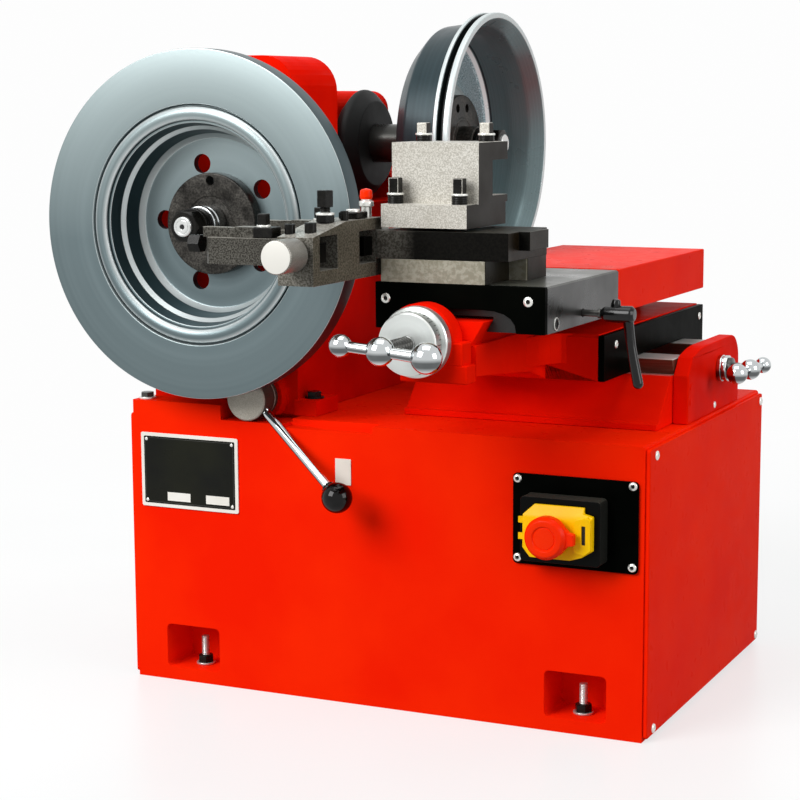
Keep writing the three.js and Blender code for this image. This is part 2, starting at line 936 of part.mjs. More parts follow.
add("headstock_casting", headstock(), paintRed);
const mainBore = spindleBody.radius + gap;
const tailBore = spindleBody.rearRadius + gap;
const seats = [
  ["disc_front_bearing", "y", discAxis, bearing.bigRadius, mainBore, frontBearingY + gap],
  ["disc_rear_bearing", "y", discAxis, bearing.smallRadius, tailBore, rearBearingY - gap],
  ["drum_right_bearing", "x", drumAxis, bearing.bigRadius, mainBore, rightBearingX - gap],
  ["drum_left_bearing", "x", drumAxis, bearing.smallRadius, tailBore, leftBearingX + gap],
];
for (const [name, ...sizes] of seats) add(name, bearingRing(...sizes), satinSteel);

// Disc side: spindle, flanges, disc, spacer and nut
const discBackY = disc.webY + disc.webThickness;
const backFlangeY = discBackY + gap;
const clampBackY = disc.webY - gap;
const clampFrontY = clampBackY - discFlange.clampThickness;
const spacerBackY = clampFrontY - gap;
const spacerFrontY = spacerBackY - spacer.length;

function discSpindle() {
  const shoulderY = backFlangeY + discFlange.backThickness + gap;
  const shaftEnd = discRearY - gap;
  const body = revolve("y", discAxis, [
    [0, arbor.tipY + arbor.centreDepth],
    [arbor.centreHole, arbor.tipY],
    [arbor.tipRadius, arbor.tipY],
    [arbor.tipRadius, arbor.tipY + arbor.tipLength],
    [arbor.radius, arbor.tipY + arbor.tipLength],
    [arbor.radius, shoulderY],
    [spindleBody.radius, shoulderY],
    [spindleBody.radius, head.towerBack - spindleBody.radius],
    [spindleBody.rearRadius, head.towerBack - spindleBody.radius],
    [spindleBody.rearRadius, shaftEnd],
    [0, shaftEnd],
  ]);
  return body;
}

function backFlange() {
  const rear = backFlangeY + discFlange.backThickness;
  const spigot = backFlangeY - discFlange.spigotLength;
  return revolve("y", discAxis, [
    [arbor.radius + gap, spigot],
    [disc.boreRadius - gap, spigot],
    [disc.boreRadius - gap, backFlangeY],
    [discFlange.backRadius, backFlangeY],
    [discFlange.backRadius, rear - discFlange.chamfer],
    [discFlange.backRadius - discFlange.chamfer, rear],
    [arbor.radius + gap, rear],
    [arbor.radius + gap, spigot],
  ]);
}

// The disc's front, from the rim in: friction face, groove, rolled bead, two-step wall, web.
function brakeDisc() {
  const rear = disc.frontY + disc.thickness;
  const middle = (disc.beadOuter + disc.beadInner) / 2;
  const half = (disc.beadOuter - disc.beadInner) / 2;
  const floor = disc.frontY + disc.grooveDepth;
  const bead = [];
  for (let i = 0; i <= roundSteps; i++) {
    const angle = (i * Math.PI) / roundSteps;
    const rise = (disc.grooveDepth + disc.beadRise) * Math.sin(angle);
    bead.push([middle + half * Math.cos(angle), floor - rise]);
  }
  const stepY = (disc.frontY + disc.webY) / 2;
  const fillet = disc.stepWidth;
  const rim = disc.radius;
  const profile = [
    [disc.boreRadius, disc.webY],
    [disc.boreRadius, discBackY],
    [disc.stepRadius - fillet, discBackY],
    [disc.wallFront + 2 * fillet, rear],
    [rim, rear],
    [rim, disc.frontY],
    [disc.faceInner, disc.frontY],
    [disc.beadOuter + gap, floor],
    ...bead,
    [disc.wallFront, floor],
    [disc.stepRadius + fillet, stepY - fillet],
    [disc.stepRadius - fillet / 2, stepY],
    [disc.hatInner + fillet / 2, disc.webY - fillet],
    [disc.hatInner - fillet, disc.webY],
    [disc.boreRadius, disc.webY],
  ];
  let body = revolve("y", discAxis, profile, wideSides);
  for (let i = 0; i < disc.holeCount; i++) {
    const angle = ((disc.firstHoleAngle - (i * 360) / disc.holeCount) * Math.PI) / 180;
    const x = disc.x + disc.holeCircle * Math.cos(angle);
    const z = disc.z + disc.holeCircle * Math.sin(angle);
    body = cut(body, rod("y", [x, 0, z], disc.holeRadius, disc.webY - over, discBackY + over));
  }
  return body;
}

function clampFlange() {
  const edge = discFlange.chamfer;
  const body = revolve("y", discAxis, [
    [arbor.radius + gap, clampFrontY],
    [discFlange.clampRadius - edge, clampFrontY],
    [discFlange.clampRadius, clampFrontY + edge],
    [discFlange.clampRadius, clampBackY],
    [arbor.radius + gap, clampBackY],
    [arbor.radius + gap, clampFrontY],
  ], ringSides);
  const hole = [disc.x, 0, disc.z + discFlange.holeOffset];
  return cut(body, rod("y", hole, discFlange.holeRadius, clampFrontY - over, clampBackY + over));
}

// The ring that slides over the arbor, with chamfered edges.
function spacerRing() {
  const bore = arbor.radius + gap;
  const { radius, chamfer } = spacer;
  return revolve("y", discAxis, [
    [bore, spacerFrontY],
    [radius - chamfer, spacerFrontY],
    [radius, spacerFrontY + chamfer],
    [radius, spacerBackY - chamfer],
    [radius - chamfer, spacerBackY],
    [bore, spacerBackY],
    [bore, spacerFrontY],
  ], ringSides);
}

// A hexagon nut with a round grooved collar behind it, from the nut's outer face inward.
function flangedNut(axis, centre, outerFace, inward) {
  const hexEnd = outerFace + inward * arborNut.hexLength;
  const collarEnd = hexEnd + inward * arborNut.collarLength;
  const flat = axis === "y" ? [centre[0], centre[2]] : [centre[1], centre[2]];
  const hex = prism(axis, shifted(hexagon(arborNut.across), ...flat), outerFace, hexEnd);
  const cone = revolve(axis, centre, [
    [0, outerFace],
    [arborNut.across / 2, outerFace],
    [arborNut.cornerRadius, outerFace + inward * arborNut.cornerFall],
    [arborNut.cornerRadius, hexEnd + inward * over],
    [0, hexEnd + inward * over],
  ]);
  const pitch = arborNut.collarLength / (2 * arborNut.grooves + 1);
  const profile = [[0, hexEnd - inward * gap]];
  for (let i = 0; i <= 2 * arborNut.grooves; i++) {
    const radius = arborNut.collarRadius - (i % 2) * arborNut.grooveDepth;
    const start = i === 0 ? hexEnd - inward * gap : hexEnd + inward * i * pitch;
    profile.push([radius, start], [radius, hexEnd + inward * (i + 1) * pitch]);
  }
  profile.push([0, collarEnd]);
  const collarRound = revolve(axis, centre, profile);
  const bore = rod(axis, centre, arbor.radius + gap, outerFace - inward * over, collarEnd + inward * over);
  return cut(join(hex.intersect(cone), collarRound), bore);
}

// A toothed wheel for the worm, with a short hub on one side.
function wormWheel(axis, centre, middle, hubSide, bore) {
  const tip = wheelTip;
  const root = pitchRadius - wormTooth.dedendum;
  const pitchAngle = (2 * Math.PI) / wormTooth.wheelTeeth;
  const outline = [];
  for (let i = 0; i < wormTooth.wheelTeeth; i++) {
    const corners = [
      [root, -wormTooth.rootShare],
      [tip, -wormTooth.tipShare],
      [tip, wormTooth.tipShare],
      [root, wormTooth.rootShare],
    ];
    for (const [radius, share] of corners) {
      const angle = (i + share / 2) * pitchAngle;
      outline.push([radius * Math.cos(angle), radius * Math.sin(angle)]);
    }
  }
  const flat = axis === "y" ? [centre[0], centre[2]] : [centre[1], centre[2]];
  const half = wheel.width / 2;
  const blank = prism(axis, shifted(outline, ...flat), middle - half, middle + half);
  const hubFrom = middle + hubSide * (half - gap);
  const hubTo = middle + hubSide * (half + wheel.hubLength);
  const hub = rod(axis, centre, wheel.hubRadius, hubFrom, hubTo);
  const hole = rod(axis, centre, bore, middle - 2 * wheel.width, middle + 2 * wheel.width);
  return cut(join(blank, hub), hole);
}

add("disc_spindle", discSpindle(), toolSteel, discAxis);
add("disc_back_flange", backFlange(), darkSteel, discAxis);
add("brake_disc", brakeDisc(), satinSteel, discAxis);
add("disc_clamp_flange", clampFlange(), darkSteel, discAxis);
add("disc_spacer", spacerRing(), chrome, discAxis);
const discNutFront = spacerFrontY - gap - arborNut.collarLength - arborNut.hexLength;
add("disc_nut", flangedNut("y", discAxis, discNutFront, 1), darkSteel, discAxis);
add("disc_worm_wheel", wormWheel("y", discAxis, worm.y, 1, tailBore), bronze, discAxis);

// Drum side: spindle with its own back flange, drum, clamp flange, spacer ring and nut
const drumBackX = drum.rimX - drum.depth;
const webFrontX = drumBackX + drum.webThickness;
const hubFrontX = webFrontX + drum.hubRise;
const drumClampX = hubFrontX + gap;
const drumSpacerEnd = drumClampX + drumFlange.thickness + drumNose.spacerLength;
const drumNutX = drumSpacerEnd + gap;
const drumNutEnd = drumNutX + arborNut.collarLength + arborNut.hexLength;

function drumSpindle() {
  const left = leftBearingX + gap;
  const flangeBack = drumBackX - gap - drumFlange.backThickness;
  const tip = drumNutEnd + drumNose.tipBeyondNut;
  const stepX = worm.x + wheel.width;
  return revolve("x", drumAxis, [
    [0, left],
    [spindleBody.rearRadius, left],
    [spindleBody.rearRadius, stepX],
    [spindleBody.radius, stepX],
    [spindleBody.radius, flangeBack],
    [drumFlange.backRadius, flangeBack],
    [drumFlange.backRadius, drumBackX - gap],
    [drum.boreRadius - gap, drumBackX - gap],
    [drum.boreRadius - gap, drumBackX + drum.webThickness / 2],
    [arbor.radius, drumBackX + drum.webThickness / 2],
    [arbor.radius, tip - arbor.tipLength],
    [arbor.tipRadius, tip - arbor.tipLength],
    [arbor.tipRadius, tip],
    [arbor.centreHole, tip],
    [0, tip - arbor.centreDepth],
  ]);
}

// The rounded vibration ring beside the headstock.
function silencerRing() {
  const { radius, left, width, round } = silencer;
  const inner = spindleBody.radius + gap;
  const profile = [[inner, left]];
  for (const [cx, from] of [[left + round, Math.PI], [left + width - round, Math.PI / 2]]) {
    for (let i = 0; i <= 2; i++) {
      const angle = from - (i * Math.PI) / 4;
      profile.push([radius - round + round * Math.sin(angle), cx + round * Math.cos(angle)]);
    }
  }
  profile.push([inner, left + width], [inner, left]);
  return revolve("x", drumAxis, profile, ringSides);
}

// The drum from its rim in: two lips with a deep groove between them, plain barrel, web and raised hub.
function brakeDrum() {
  const lipEnd = drum.rimX - drum.frontLip;
  const rearLipX = lipEnd - drum.grooveWidth;
  const barrelX = rearLipX - drum.rearLip;
  const grooveRadius = drum.radius - drum.grooveDepth;
  const round = drum.backRound;
  const corner = [];
  for (let i = 0; i <= 3; i++) {
    const angle = (i * Math.PI) / 6;
    corner.push([
      drum.backRadius - round + round * Math.cos(angle),
      drumBackX + round - round * Math.sin(angle),
    ]);
  }
  const profile = [
    [drum.boreRadius, hubFrontX],
    [drum.hubRadius, hubFrontX],
    [drum.hubRadius + drum.hubRimWidth / 2, webFrontX],
    [drum.webRadius, webFrontX],
    [drum.insideRadius, webFrontX + drum.hubRise],
    [drum.insideRadius, drum.rimX - drum.lipChamfer],
    [drum.insideRadius + drum.lipChamfer, drum.rimX],
    [drum.radius, drum.rimX],
    [drum.radius, lipEnd],
    [grooveRadius, lipEnd],
    [grooveRadius, rearLipX],
    [drum.radius, rearLipX],
    [drum.radius, barrelX],
    [drum.bodyRadius, barrelX],
    ...corner,
    [drum.boreRadius, drumBackX],
    [drum.boreRadius, hubFrontX],
  ];
  return revolve("x", drumAxis, profile, wideSides);
}

// The drum's clamp flange, with two holes near its top and a spacer ring in front.
function drumClamp() {
  const end = drumClampX + drumFlange.thickness;
  const edge = discFlange.chamfer;
  const inner = arbor.radius + gap;
  const ring = drumNose.spacerRadius;
  const body = revolve("x", drumAxis, [
    [inner, drumClampX],
    [drumFlange.radius, drumClampX],
    [drumFlange.radius, end - edge],
    [drumFlange.radius - edge, end],
    [ring, end],
    [ring, drumSpacerEnd - spacer.chamfer],
    [ring - spacer.chamfer, drumSpacerEnd],
    [inner, drumSpacerEnd],
    [inner, drumClampX],
  ], ringSides);
  const holes = drumFlange.holeAngles.map((degrees) => {
    const angle = (degrees * Math.PI) / 180;
    const y = drum.y + drumFlange.holeOffset * Math.cos(angle);
    const z = drum.z + drumFlange.holeOffset * Math.sin(angle);
    return rod("x", [0, y, z], drumFlange.holeRadius, drumClampX - over, end + over);
  });
  return cut(body, ...holes);
}

add("drum_spindle", drumSpindle(), toolSteel, drumAxis);
add("drum_silencer_ring", silencerRing(), rubber, drumAxis);
add("brake_drum", brakeDrum(), castIron, drumAxis);
add("drum_clamp_flange", drumClamp(), darkSteel, drumAxis);
add("drum_nut", flangedNut("x", drumAxis, drumNutEnd, -1), darkSteel, drumAxis);
add("drum_worm_wheel", wormWheel("x", drumAxis, worm.x, 1, tailBore), bronze, drumAxis);

// Worm shaft: a single helical thread for each wheel, a grooved pulley below and a small one for the feed
// A thread of one start. On the side that faces its wheel, a space lies level with the wheel's axis.
function wormThread(centreZ, facing) {
  const lead = Math.PI * wormTooth.module;
  const steps = wormShaft.turns * wormShaft.stepsPerTurn;
  const tip = wormTooth.wormRadius + wormTooth.addendum;
  const inner = wormShaft.coreRadius - wormTooth.addendum;
  const section = [
    [inner, -wormTooth.rootShare / 2],
    [tip, -wormTooth.tipShare / 2],
    [tip, wormTooth.tipShare / 2],
    [inner, wormTooth.rootShare / 2],
  ];
  const points = [];
  for (let i = 0; i <= steps; i++) {
    const turn = i / wormShaft.stepsPerTurn;
    const angle = facing + 2 * Math.PI * turn + Math.PI;
    const z = centreZ + (turn - wormShaft.turns / 2) * lead;
    for (const [radius, share] of section) {
      points.push(worm.x + radius * Math.cos(angle), worm.y + radius * Math.sin(angle), z + share * lead);
    }
  }
  const faces = [];
  for (let i = 0; i < steps; i++) {
    for (let j = 0; j < 4; j++) {
      const [a, b] = [4 * i + j, 4 * i + ((j + 1) % 4)];
      faces.push(a, b, b + 4, a, b + 4, a + 4);
    }
  }
  const last = 4 * steps;
  faces.push(0, 2, 1, 0, 3, 2, last, last + 1, last + 2, last, last + 2, last + 3);
  const geometry = new THREE.BufferGeometry();
  geometry.setAttribute("position", new THREE.Float32BufferAttribute(points, 3));
  geometry.setIndex(faces);
  return solid(geometry);
}

function pulleyProfile(radius, bottom, height, grooveDepth, rim, centreRadius) {
  const top = bottom + height;
  return [
    [centreRadius, bottom],
    [radius, bottom],
    [radius - grooveDepth, bottom + rim + grooveDepth / 2],
    [radius - grooveDepth, top - rim - grooveDepth / 2],
    [radius, top],
    [centreRadius, top],
  ];
}

function wormShaftSolid() {
  const { radius, bottom, top, coreRadius } = wormShaft;
  const half = (wormShaft.turns * Math.PI * wormTooth.module) / 2;
  const low = wormPulley;
  const small = feedPulley;
  const profile = [
    [0, bottom],
    [radius, bottom],
    ...pulleyProfile(low.radius, low.bottom, low.height, low.grooveDepth, low.rim, radius),
    ...pulleyProfile(small.radius, small.bottom, small.height, small.grooveDepth, small.rim, radius),
    [radius, disc.z - half - over],
    [coreRadius, disc.z - half - over],
    [coreRadius, drum.z + half + over],
    [radius, drum.z + half + over],
    [radius, top],
    [0, top],
  ];
  const shaft = revolve("z", wormAxis, profile);
  return join(shaft, wormThread(disc.z, 0), wormThread(drum.z, -Math.PI / 2));
}

add("worm_shaft", wormShaftSolid(), satinSteel, wormAxis);

// Feed gearbox in the foot of the column, with its input pulley on top
const feedX = (leadScrew.left + lever.x) / 2 - feedBox.width / 4;
const feedAxis = [feedX, leadScrew.y, 0];

function feedGearbox() {
  const halfX = feedBox.width / 2;
  const halfY = feedBox.depth / 2;
  const sides = [feedX - halfX, feedX + halfX, leadScrew.y - halfY, leadScrew.y + halfY];
  const outline = roundedRectangle(...sides, feedBox.cornerRadius);
  const inset = feedBox.coverInset;
  const lidOutline = roundedRectangle(
    feedX - halfX + inset,
    feedX + halfX - inset,
    leadScrew.y - halfY + inset,
    leadScrew.y + halfY - inset,
    feedBox.cornerRadius / 2,
  );
  const body = prism("z", outline, seatZ, feedBox.top, cornerSteps);
  const lidTop = feedBox.top + feedBox.coverRise;
  const top = prism("z", lidOutline, feedBox.top - over, lidTop, cornerSteps);
  const shaftFloor = leadScrew.z + 2 * leadScrew.radius;
  const leverEnd = leadScrew.y - halfY / 2;
  const screwBore = rod("x", leadLine, leadScrew.radius + running, feedX, feedX + feedBox.width);
  const shaftBore = rod("z", feedAxis, feedPulley.shaftRadius + running, shaftFloor, feedPulley.bottom);
  const leverBore = rod("y", leverLine, lever.shaftRadius + running, leadScrew.y - feedBox.depth, leverEnd);
  return cut(join(body, top), screwBore, shaftBore, leverBore);
}

function feedInput() {
  const { radius, bottom, height, grooveDepth, rim, shaftRadius } = feedPulley;
  const start = leadScrew.z + 2 * leadScrew.radius + gap;
  return revolve("z", feedAxis, [
    [0, start],
    [shaftRadius, start],
    ...pulleyProfile(radius, bottom, height, grooveDepth, rim, shaftRadius),
    [0, bottom + height],
  ]);
}

// A belt round two pulleys on upright axes: the outer and inner outlines are two arcs and two tangents.
function beltLoop([first, firstRadius], [second, secondRadius], thickness, middleZ, width) {
  const dx = second[0] - first[0];
  const dy = second[1] - first[1];
  const reach = Math.hypot(dx, dy);
  const heading = Math.atan2(dy, dx);
  const lean = Math.acos((firstRadius - secondRadius) / reach);
  const loop = (grow, path) => {
    const [from, to] = [heading + lean, heading + 2 * Math.PI - lean];
    path.absarc(first[0], first[1], firstRadius + grow, from, to, false);
    path.absarc(second[0], second[1], secondRadius + grow, heading - lean, heading + lean, false);
    path.closePath();
    return path;
  };
  const shape = loop(thickness, new THREE.Shape());
  shape.holes.push(loop(0, new THREE.Path()));
  return prism("z", shape, middleZ - width / 2, middleZ + width / 2);
}

const feedPulleySeat = feedPulley.radius - feedPulley.grooveDepth + running;
const feedBeltZ = feedPulley.bottom + feedPulley.height / 2;
add("feed_gearbox", feedGearbox(), castIron, feedAxis);
add("feed_input_pulley", feedInput(), satinSteel, feedAxis);
const feedTurns = [[[worm.x, worm.y], feedPulleySeat], [[feedX, leadScrew.y], feedPulleySeat]];
add("feed_belt", beltLoop(...feedTurns, belt.feedThickness, feedBeltZ, belt.feedWidth), rubber);

// Motor, upright inside the cabinet and bolted to its rear wall
const motorY = halfDepth - base.wall - gap - motor.footReach - motor.radius;
const motorAxis = [motor.x, motorY, 0];

function motorBody() {
  const finFrom = motor.bottom + motor.capHeight;
  const finTo = motor.top - motor.capHeight;
  const can = revolve("z", motorAxis, [
    [0, motor.bottom],
    [motor.lowCapRadius, motor.bottom],
    [motor.radius, finFrom],
    [motor.radius, finTo],
    [motor.highCapRadius, motor.top],
    [0, motor.top],
  ], ringSides);
  const half = motor.footWidth / 2;
  const foot = block(
    [motor.x - half, motorY + motor.lowCapRadius, finFrom],
    [motor.x + half, halfDepth - base.wall - gap, finTo],
  );
  const grooves = [];
  for (let i = 0; i < motor.fins; i++) {
    const angle = Math.PI + ((i + 0.5) * Math.PI) / motor.fins;
    const x = motor.x + motor.radius * Math.cos(angle);
    const y = motorY + motor.radius * Math.sin(angle);
    grooves.push(rod("z", [x, y, 0], motor.finDepth, finFrom, finTo, 4));
  }
  const shaftBore = rod("z", motorAxis, motor.shaftRadius + running, finTo, motor.top + over);
  return cut(join(can, foot), ...grooves, shaftBore);
}

function motorRotor() {
  const low = wormPulley;
  return revolve("z", motorAxis, [
    [0, motor.top - motor.capHeight + gap],
    [motor.shaftRadius, motor.top - motor.capHeight + gap],
    ...pulleyProfile(motor.pulleyRadius, low.bottom, low.height, low.grooveDepth, low.rim, motor.shaftRadius),
    [0, low.bottom + low.height],
  ]);
}

const wormSeat = wormPulley.radius - wormPulley.grooveDepth + running;
const motorSeat = motor.pulleyRadius - wormPulley.grooveDepth + running;
const beltZ = wormPulley.bottom + wormPulley.height / 2;
add("motor_body", motorBody(), castIron, motorAxis);
add("motor_rotor", motorRotor(), satinSteel, motorAxis);
const driveTurns = [[[worm.x, worm.y], wormSeat], [[motor.x, motorY], motorSeat]];
add("drive_belt", beltLoop(...driveTurns, belt.thickness, beltZ, belt.width), rubber);

// Feed lever: hub with two collar rings behind it, a slanted rod and a ball
function feedLever() {
  const hubBack = lever.frontY + lever.hubLength;
  const bossFace = head.front - leverBoss.length - gap;
  const ringLength = (bossFace - hubBack) / lever.rings;
  const profile = [
    [0, lever.frontY],
    [lever.hubRadius - lever.ringGap, lever.frontY],
    [lever.hubRadius, lever.frontY + lever.ringGap],
    [lever.hubRadius, hubBack],
  ];
  for (let i = 0; i < lever.rings; i++) {
    const from = hubBack + i * ringLength;
    const groove = lever.ringRadius - lever.ringGap;
    profile.push([groove, from], [groove, from + lever.ringGap]);
    profile.push([lever.ringRadius, from + lever.ringGap], [lever.ringRadius, from + ringLength]);
  }
  const shaftEnd = leadScrew.y - feedBox.depth / 4 - gap;
  profile.push([lever.shaftRadius, bossFace], [lever.shaftRadius, shaftEnd], [0, shaftEnd]);
  const hub = revolve("y", leverLine, profile, ringSides);
  const middle = [lever.x, lever.frontY + lever.hubLength / 2, lever.z];
  const toKnob = new THREE.Vector3(lever.knobX - middle[0], lever.knobY - middle[1], lever.knobZ - middle[2]);
  const end = toKnob.clone().setLength(toKnob.length() - lever.knobRadius / 2);
  const tip = [middle[0] + end.x, middle[1] + end.y, middle[2] + end.z];
  return join(hub, strut(middle, tip, lever.rodRadius, lever.rodTipRadius));
}

function leverKnob() {
  const sphere = ball([lever.knobX, lever.knobY, lever.knobZ], lever.knobRadius, knobSides);
  const hub = [lever.x, lever.frontY + lever.hubLength / 2, lever.z];
  const knob = [lever.knobX, lever.knobY, lever.knobZ];
  return cut(sphere, strut(hub, knob, lever.rodRadius + gap, lever.rodTipRadius + gap));
}

const leverAxis = [lever.x, lever.frontY, lever.z];
add("feed_lever", feedLever(), toolSteel, leverAxis);
add("feed_lever_knob", leverKnob(), ballBlack, leverAxis);

// Bed casting with its two dovetail ways, and the bracket at its right end
function way(y0) {
  const { shoulderZ, wayTop, wayWidth, wayUndercut } = bed;
  return [
    [y0 + wayUndercut, shoulderZ],
    [y0 + wayWidth - wayUndercut, shoulderZ],
    [y0 + wayWidth, wayTop],
    [y0, wayTop],
  ];
}

const bedRight = bracket.outerX - bracket.thickness - gap;

function bedCasting() {
  const foot = seatZ + bed.footHeight;
  const frontWay = way(bed.shoulderY + bed.wayInset);
  const rearWay = way(bed.shoulderBackY - bed.wayInset - bed.wayWidth);
  const outline = [
    [bed.frontY, seatZ],
    [bed.backY, seatZ],
    [bed.backY, foot],
    [bed.backY - bed.footStep, foot],
    [bed.shoulderBackY, bed.shoulderZ],
    [rearWay[1][0], bed.shoulderZ],
    [rearWay[2][0], bed.wayTop],
    [rearWay[3][0], bed.wayTop],
    [rearWay[0][0], bed.shoulderZ],
    [frontWay[1][0], bed.shoulderZ],
    [frontWay[2][0], bed.wayTop],
    [frontWay[3][0], bed.wayTop],
    [frontWay[0][0], bed.shoulderZ],
    [bed.shoulderY, bed.shoulderZ],
    [bed.frontY + bed.footStep, foot],
    [bed.frontY, foot],
  ];
  const body = prism("x", outline, bed.left, bedRight);
  const half = bed.troughWidth / 2;
  const trough = block(
    [bed.left - over, leadScrew.y - half, bed.shoulderZ - bed.troughDepth],
    [bedRight + over, leadScrew.y + half, bed.shoulderZ + over],
  );
  return cut(body, trough);
}

function bedBracket() {
  const { outerX, thickness, frontY, backY, top, slopeY, slopeZ, sideZ, roundRadius, crestY } = bracket;
  const shape = new THREE.Shape();
  shape.moveTo(frontY, seatZ);
  shape.lineTo(backY, seatZ);
  shape.lineTo(backY, top - roundRadius);
  shape.absarc(backY - roundRadius, top - roundRadius, roundRadius, 0, Math.PI / 2, false);
  shape.lineTo(crestY, top);
  shape.quadraticCurveTo((crestY + slopeY) / 2, top, slopeY, slopeZ);
  shape.lineTo(frontY, sideZ);
  const plate = prism("x", shape, outerX - thickness, outerX);
  return cut(plate, rod("x", leadLine, leadScrew.radius + gap, outerX - thickness - over, outerX + over));
}

add("bed_casting", bedCasting(), paintRed);
add("bed_end_bracket", bedBracket(), paintRed);

// Lead screw and its three-ball crank
const crankHub = [crank.hubX, leadScrew.y, leadScrew.z];
const crankNeckX = crank.hubX - crank.hubRadius - running;

function leadScrewSolid() {
  const centre = [0, leadScrew.y, leadScrew.z];
  const { radius, left, collarRadius, collarLength, collarChamfer } = leadScrew;
  const shaft = rod("x", centre, radius, left, bracket.outerX + over);
  const collarFrom = bracket.outerX + gap;
  const collarEnd = collarFrom + collarLength;
  const outerCollar = drumRod("x", centre, collarRadius, collarFrom, collarEnd, collarChamfer, ringSides);
  const neck = rod("x", centre, crank.neckRadius, collarFrom, crankNeckX - gap);
  return join(shaft, outerCollar, neck);
}

// Three balls on a bar, with a neck from the middle ball back to its shaft.
function ballCrank([hub, hubRadius], ends, barRadius, neckTo, neckRadius) {
  const [[small, smallRadius], [large, largeRadius]] = ends;
  return join(
    strut(small, large, barRadius),
    ball(hub, hubRadius),
    ball(small, smallRadius),
    ball(large, largeRadius),
    strut(hub, neckTo, neckRadius),
  );
}

function saddleCrank() {
  const lean = crank.lean;
  const small = [crank.hubX + lean, leadScrew.y + crank.reach, leadScrew.z];
  const large = [crank.hubX - lean, leadScrew.y - crank.reach, leadScrew.z];
  const ends = [[small, crank.smallRadius], [large, crank.largeRadius]];
  const neckTo = [crankNeckX, leadScrew.y, leadScrew.z];
  return ballCrank([crankHub, crank.hubRadius], ends, crank.barRadius, neckTo, crank.neckRadius);
}

add("lead_screw", leadScrewSolid(), satinSteel, [0, leadScrew.y, leadScrew.z]);
add("saddle_crank", saddleCrank(), chrome, crankHub);

// Saddle: bridges both ways, hooks under the front one, and carries the cross slide's dovetail nose
function noseSolid() {
  const { centreX, halfWidth, neckHalf, topHalf, frontY, neckZ, topZ, frontBottomZ } = nose;
  const { flare, gussetReach, gussetRise, rampReach, rampRise } = nose;
  const profileX = [
    [centreX - halfWidth, frontBottomZ],
    [centreX + halfWidth, frontBottomZ],
    [centreX + halfWidth, neckZ],
    [centreX + neckHalf, neckZ],
    [centreX + topHalf, topZ],
    [centreX - topHalf, topZ],
    [centreX - neckHalf, neckZ],
    [centreX - halfWidth, neckZ],
  ];
  const dovetail = prism("y", profileX, frontY, saddle.back - flare);
  const gusset = prism("x", [
    [saddle.front - gussetReach, saddle.bottom + gussetRise],
    [saddle.front + over, saddle.bottom],
    [saddle.front + over, neckZ],
    [frontY, neckZ],
    [frontY, frontBottomZ],
  ], centreX - halfWidth, centreX + halfWidth);
  const ramp = new THREE.Shape();
  ramp.moveTo(centreX + halfWidth - over, saddle.front + over);
  ramp.lineTo(centreX + halfWidth + flare, saddle.front + over);
  const rampEnd = saddle.front - rampReach;
  ramp.quadraticCurveTo(centreX + halfWidth, saddle.front, centreX + halfWidth - over, rampEnd);
  const fillet = prism("z", ramp, saddle.bottom + rampRise, saddle.top);
  return join(dovetail, gusset, fillet);
}

function saddleSolid() {
  const slab = prism("x", [
    [saddle.front, saddle.bottom],
    [saddle.back, saddle.bottom],
    [saddle.back, saddle.top - saddle.edgeRound],
    [saddle.back - saddle.edgeRound, saddle.top],
    [saddle.front + saddle.edgeRound, saddle.top],
    [saddle.front, saddle.top - saddle.edgeRound],
  ], saddle.left, saddle.right);
  const frontWay = bed.shoulderY + bed.wayInset;
  const rearWay = bed.shoulderBackY - bed.wayInset;
  const play = running;
  const undercut = bed.wayUndercut + play;
  const groove = [
    [frontWay + undercut - play * 2, saddle.bottom - over],
    [rearWay - undercut + play * 2, saddle.bottom - over],
    [rearWay + play, bed.wayTop + play],
    [frontWay - play, bed.wayTop + play],
  ];
  const channel = prism("x", groove, saddle.left - over, saddle.right + over);
  const screwNut = block(
    [saddle.nutLeft, leadScrew.y - 2 * leadScrew.radius, leadScrew.z - saddle.nutDrop],
    [saddle.nutRight, leadScrew.y + 2 * leadScrew.radius, bed.wayTop + 2 * play],
  );
  const screwBore = rod("x", leadLine, leadScrew.radius + gap, saddle.left, saddle.right);
  let body = join(cut(slab, channel), noseSolid());
  body = cut(join(body, screwNut), screwBore);
  const crossBore = rod("y", crossLine, cross.radius + running, nose.frontY - over, cross.rear + over);
  const slotHalf = crossNut.halfWidth + over;
  const nutSlot = block(
    [cross.x - slotHalf, crossNut.slotFront, cross.z - crossNut.drop - over],
    [cross.x + slotHalf, crossNut.slotBack, nose.topZ + over],
  );
  return cut(body, crossBore, nutSlot);
}

// The black wiper plate that closes the saddle's right end.
function saddleEndPlate() {
  const from = saddle.right + gap;
  const inset = endPlate.margin;
  const outline = roundedRectangle(saddle.front, saddle.back, saddle.bottom, saddle.top - inset, inset);
  const plate = prism("x", outline, from, from + endPlate.thickness - gap, 2);
  const frontWay = bed.shoulderY + bed.wayInset;
  const rearWay = bed.shoulderBackY - bed.wayInset;
  const channel = block(
    [from - over, frontWay - running, saddle.bottom - over],
    [from + endPlate.thickness + over, rearWay + running, bed.wayTop + running],
  );
  return cut(plate, channel);
}

function screwBracketSolid() {
  const { radius, thickness, footDrop, stepHalf, stepBottom } = screwBracket;
  const front = nose.frontY - gap - thickness;
  const back = nose.frontY - gap;
  const left = nose.centreX - nose.halfWidth;
  const right = nose.centreX + nose.halfWidth;
  const round = rod("y", crossLine, radius, front, back, wideSides);
  const foot = block([left, front, nose.frontBottomZ - footDrop], [right, back, cross.z]);
  const step = block([cross.x, front, stepBottom], [cross.x + stepHalf, back, cross.z]);
  const bore = rod("y", crossLine, cross.radius + running, front - over, back + over);
  return cut(join(round, foot, step), bore);
}

add("saddle", saddleSolid(), paintRed);
add("saddle_end_plate", saddleEndPlate(), paintBlack);
add("cross_screw_bracket", screwBracketSolid(), paintRed);

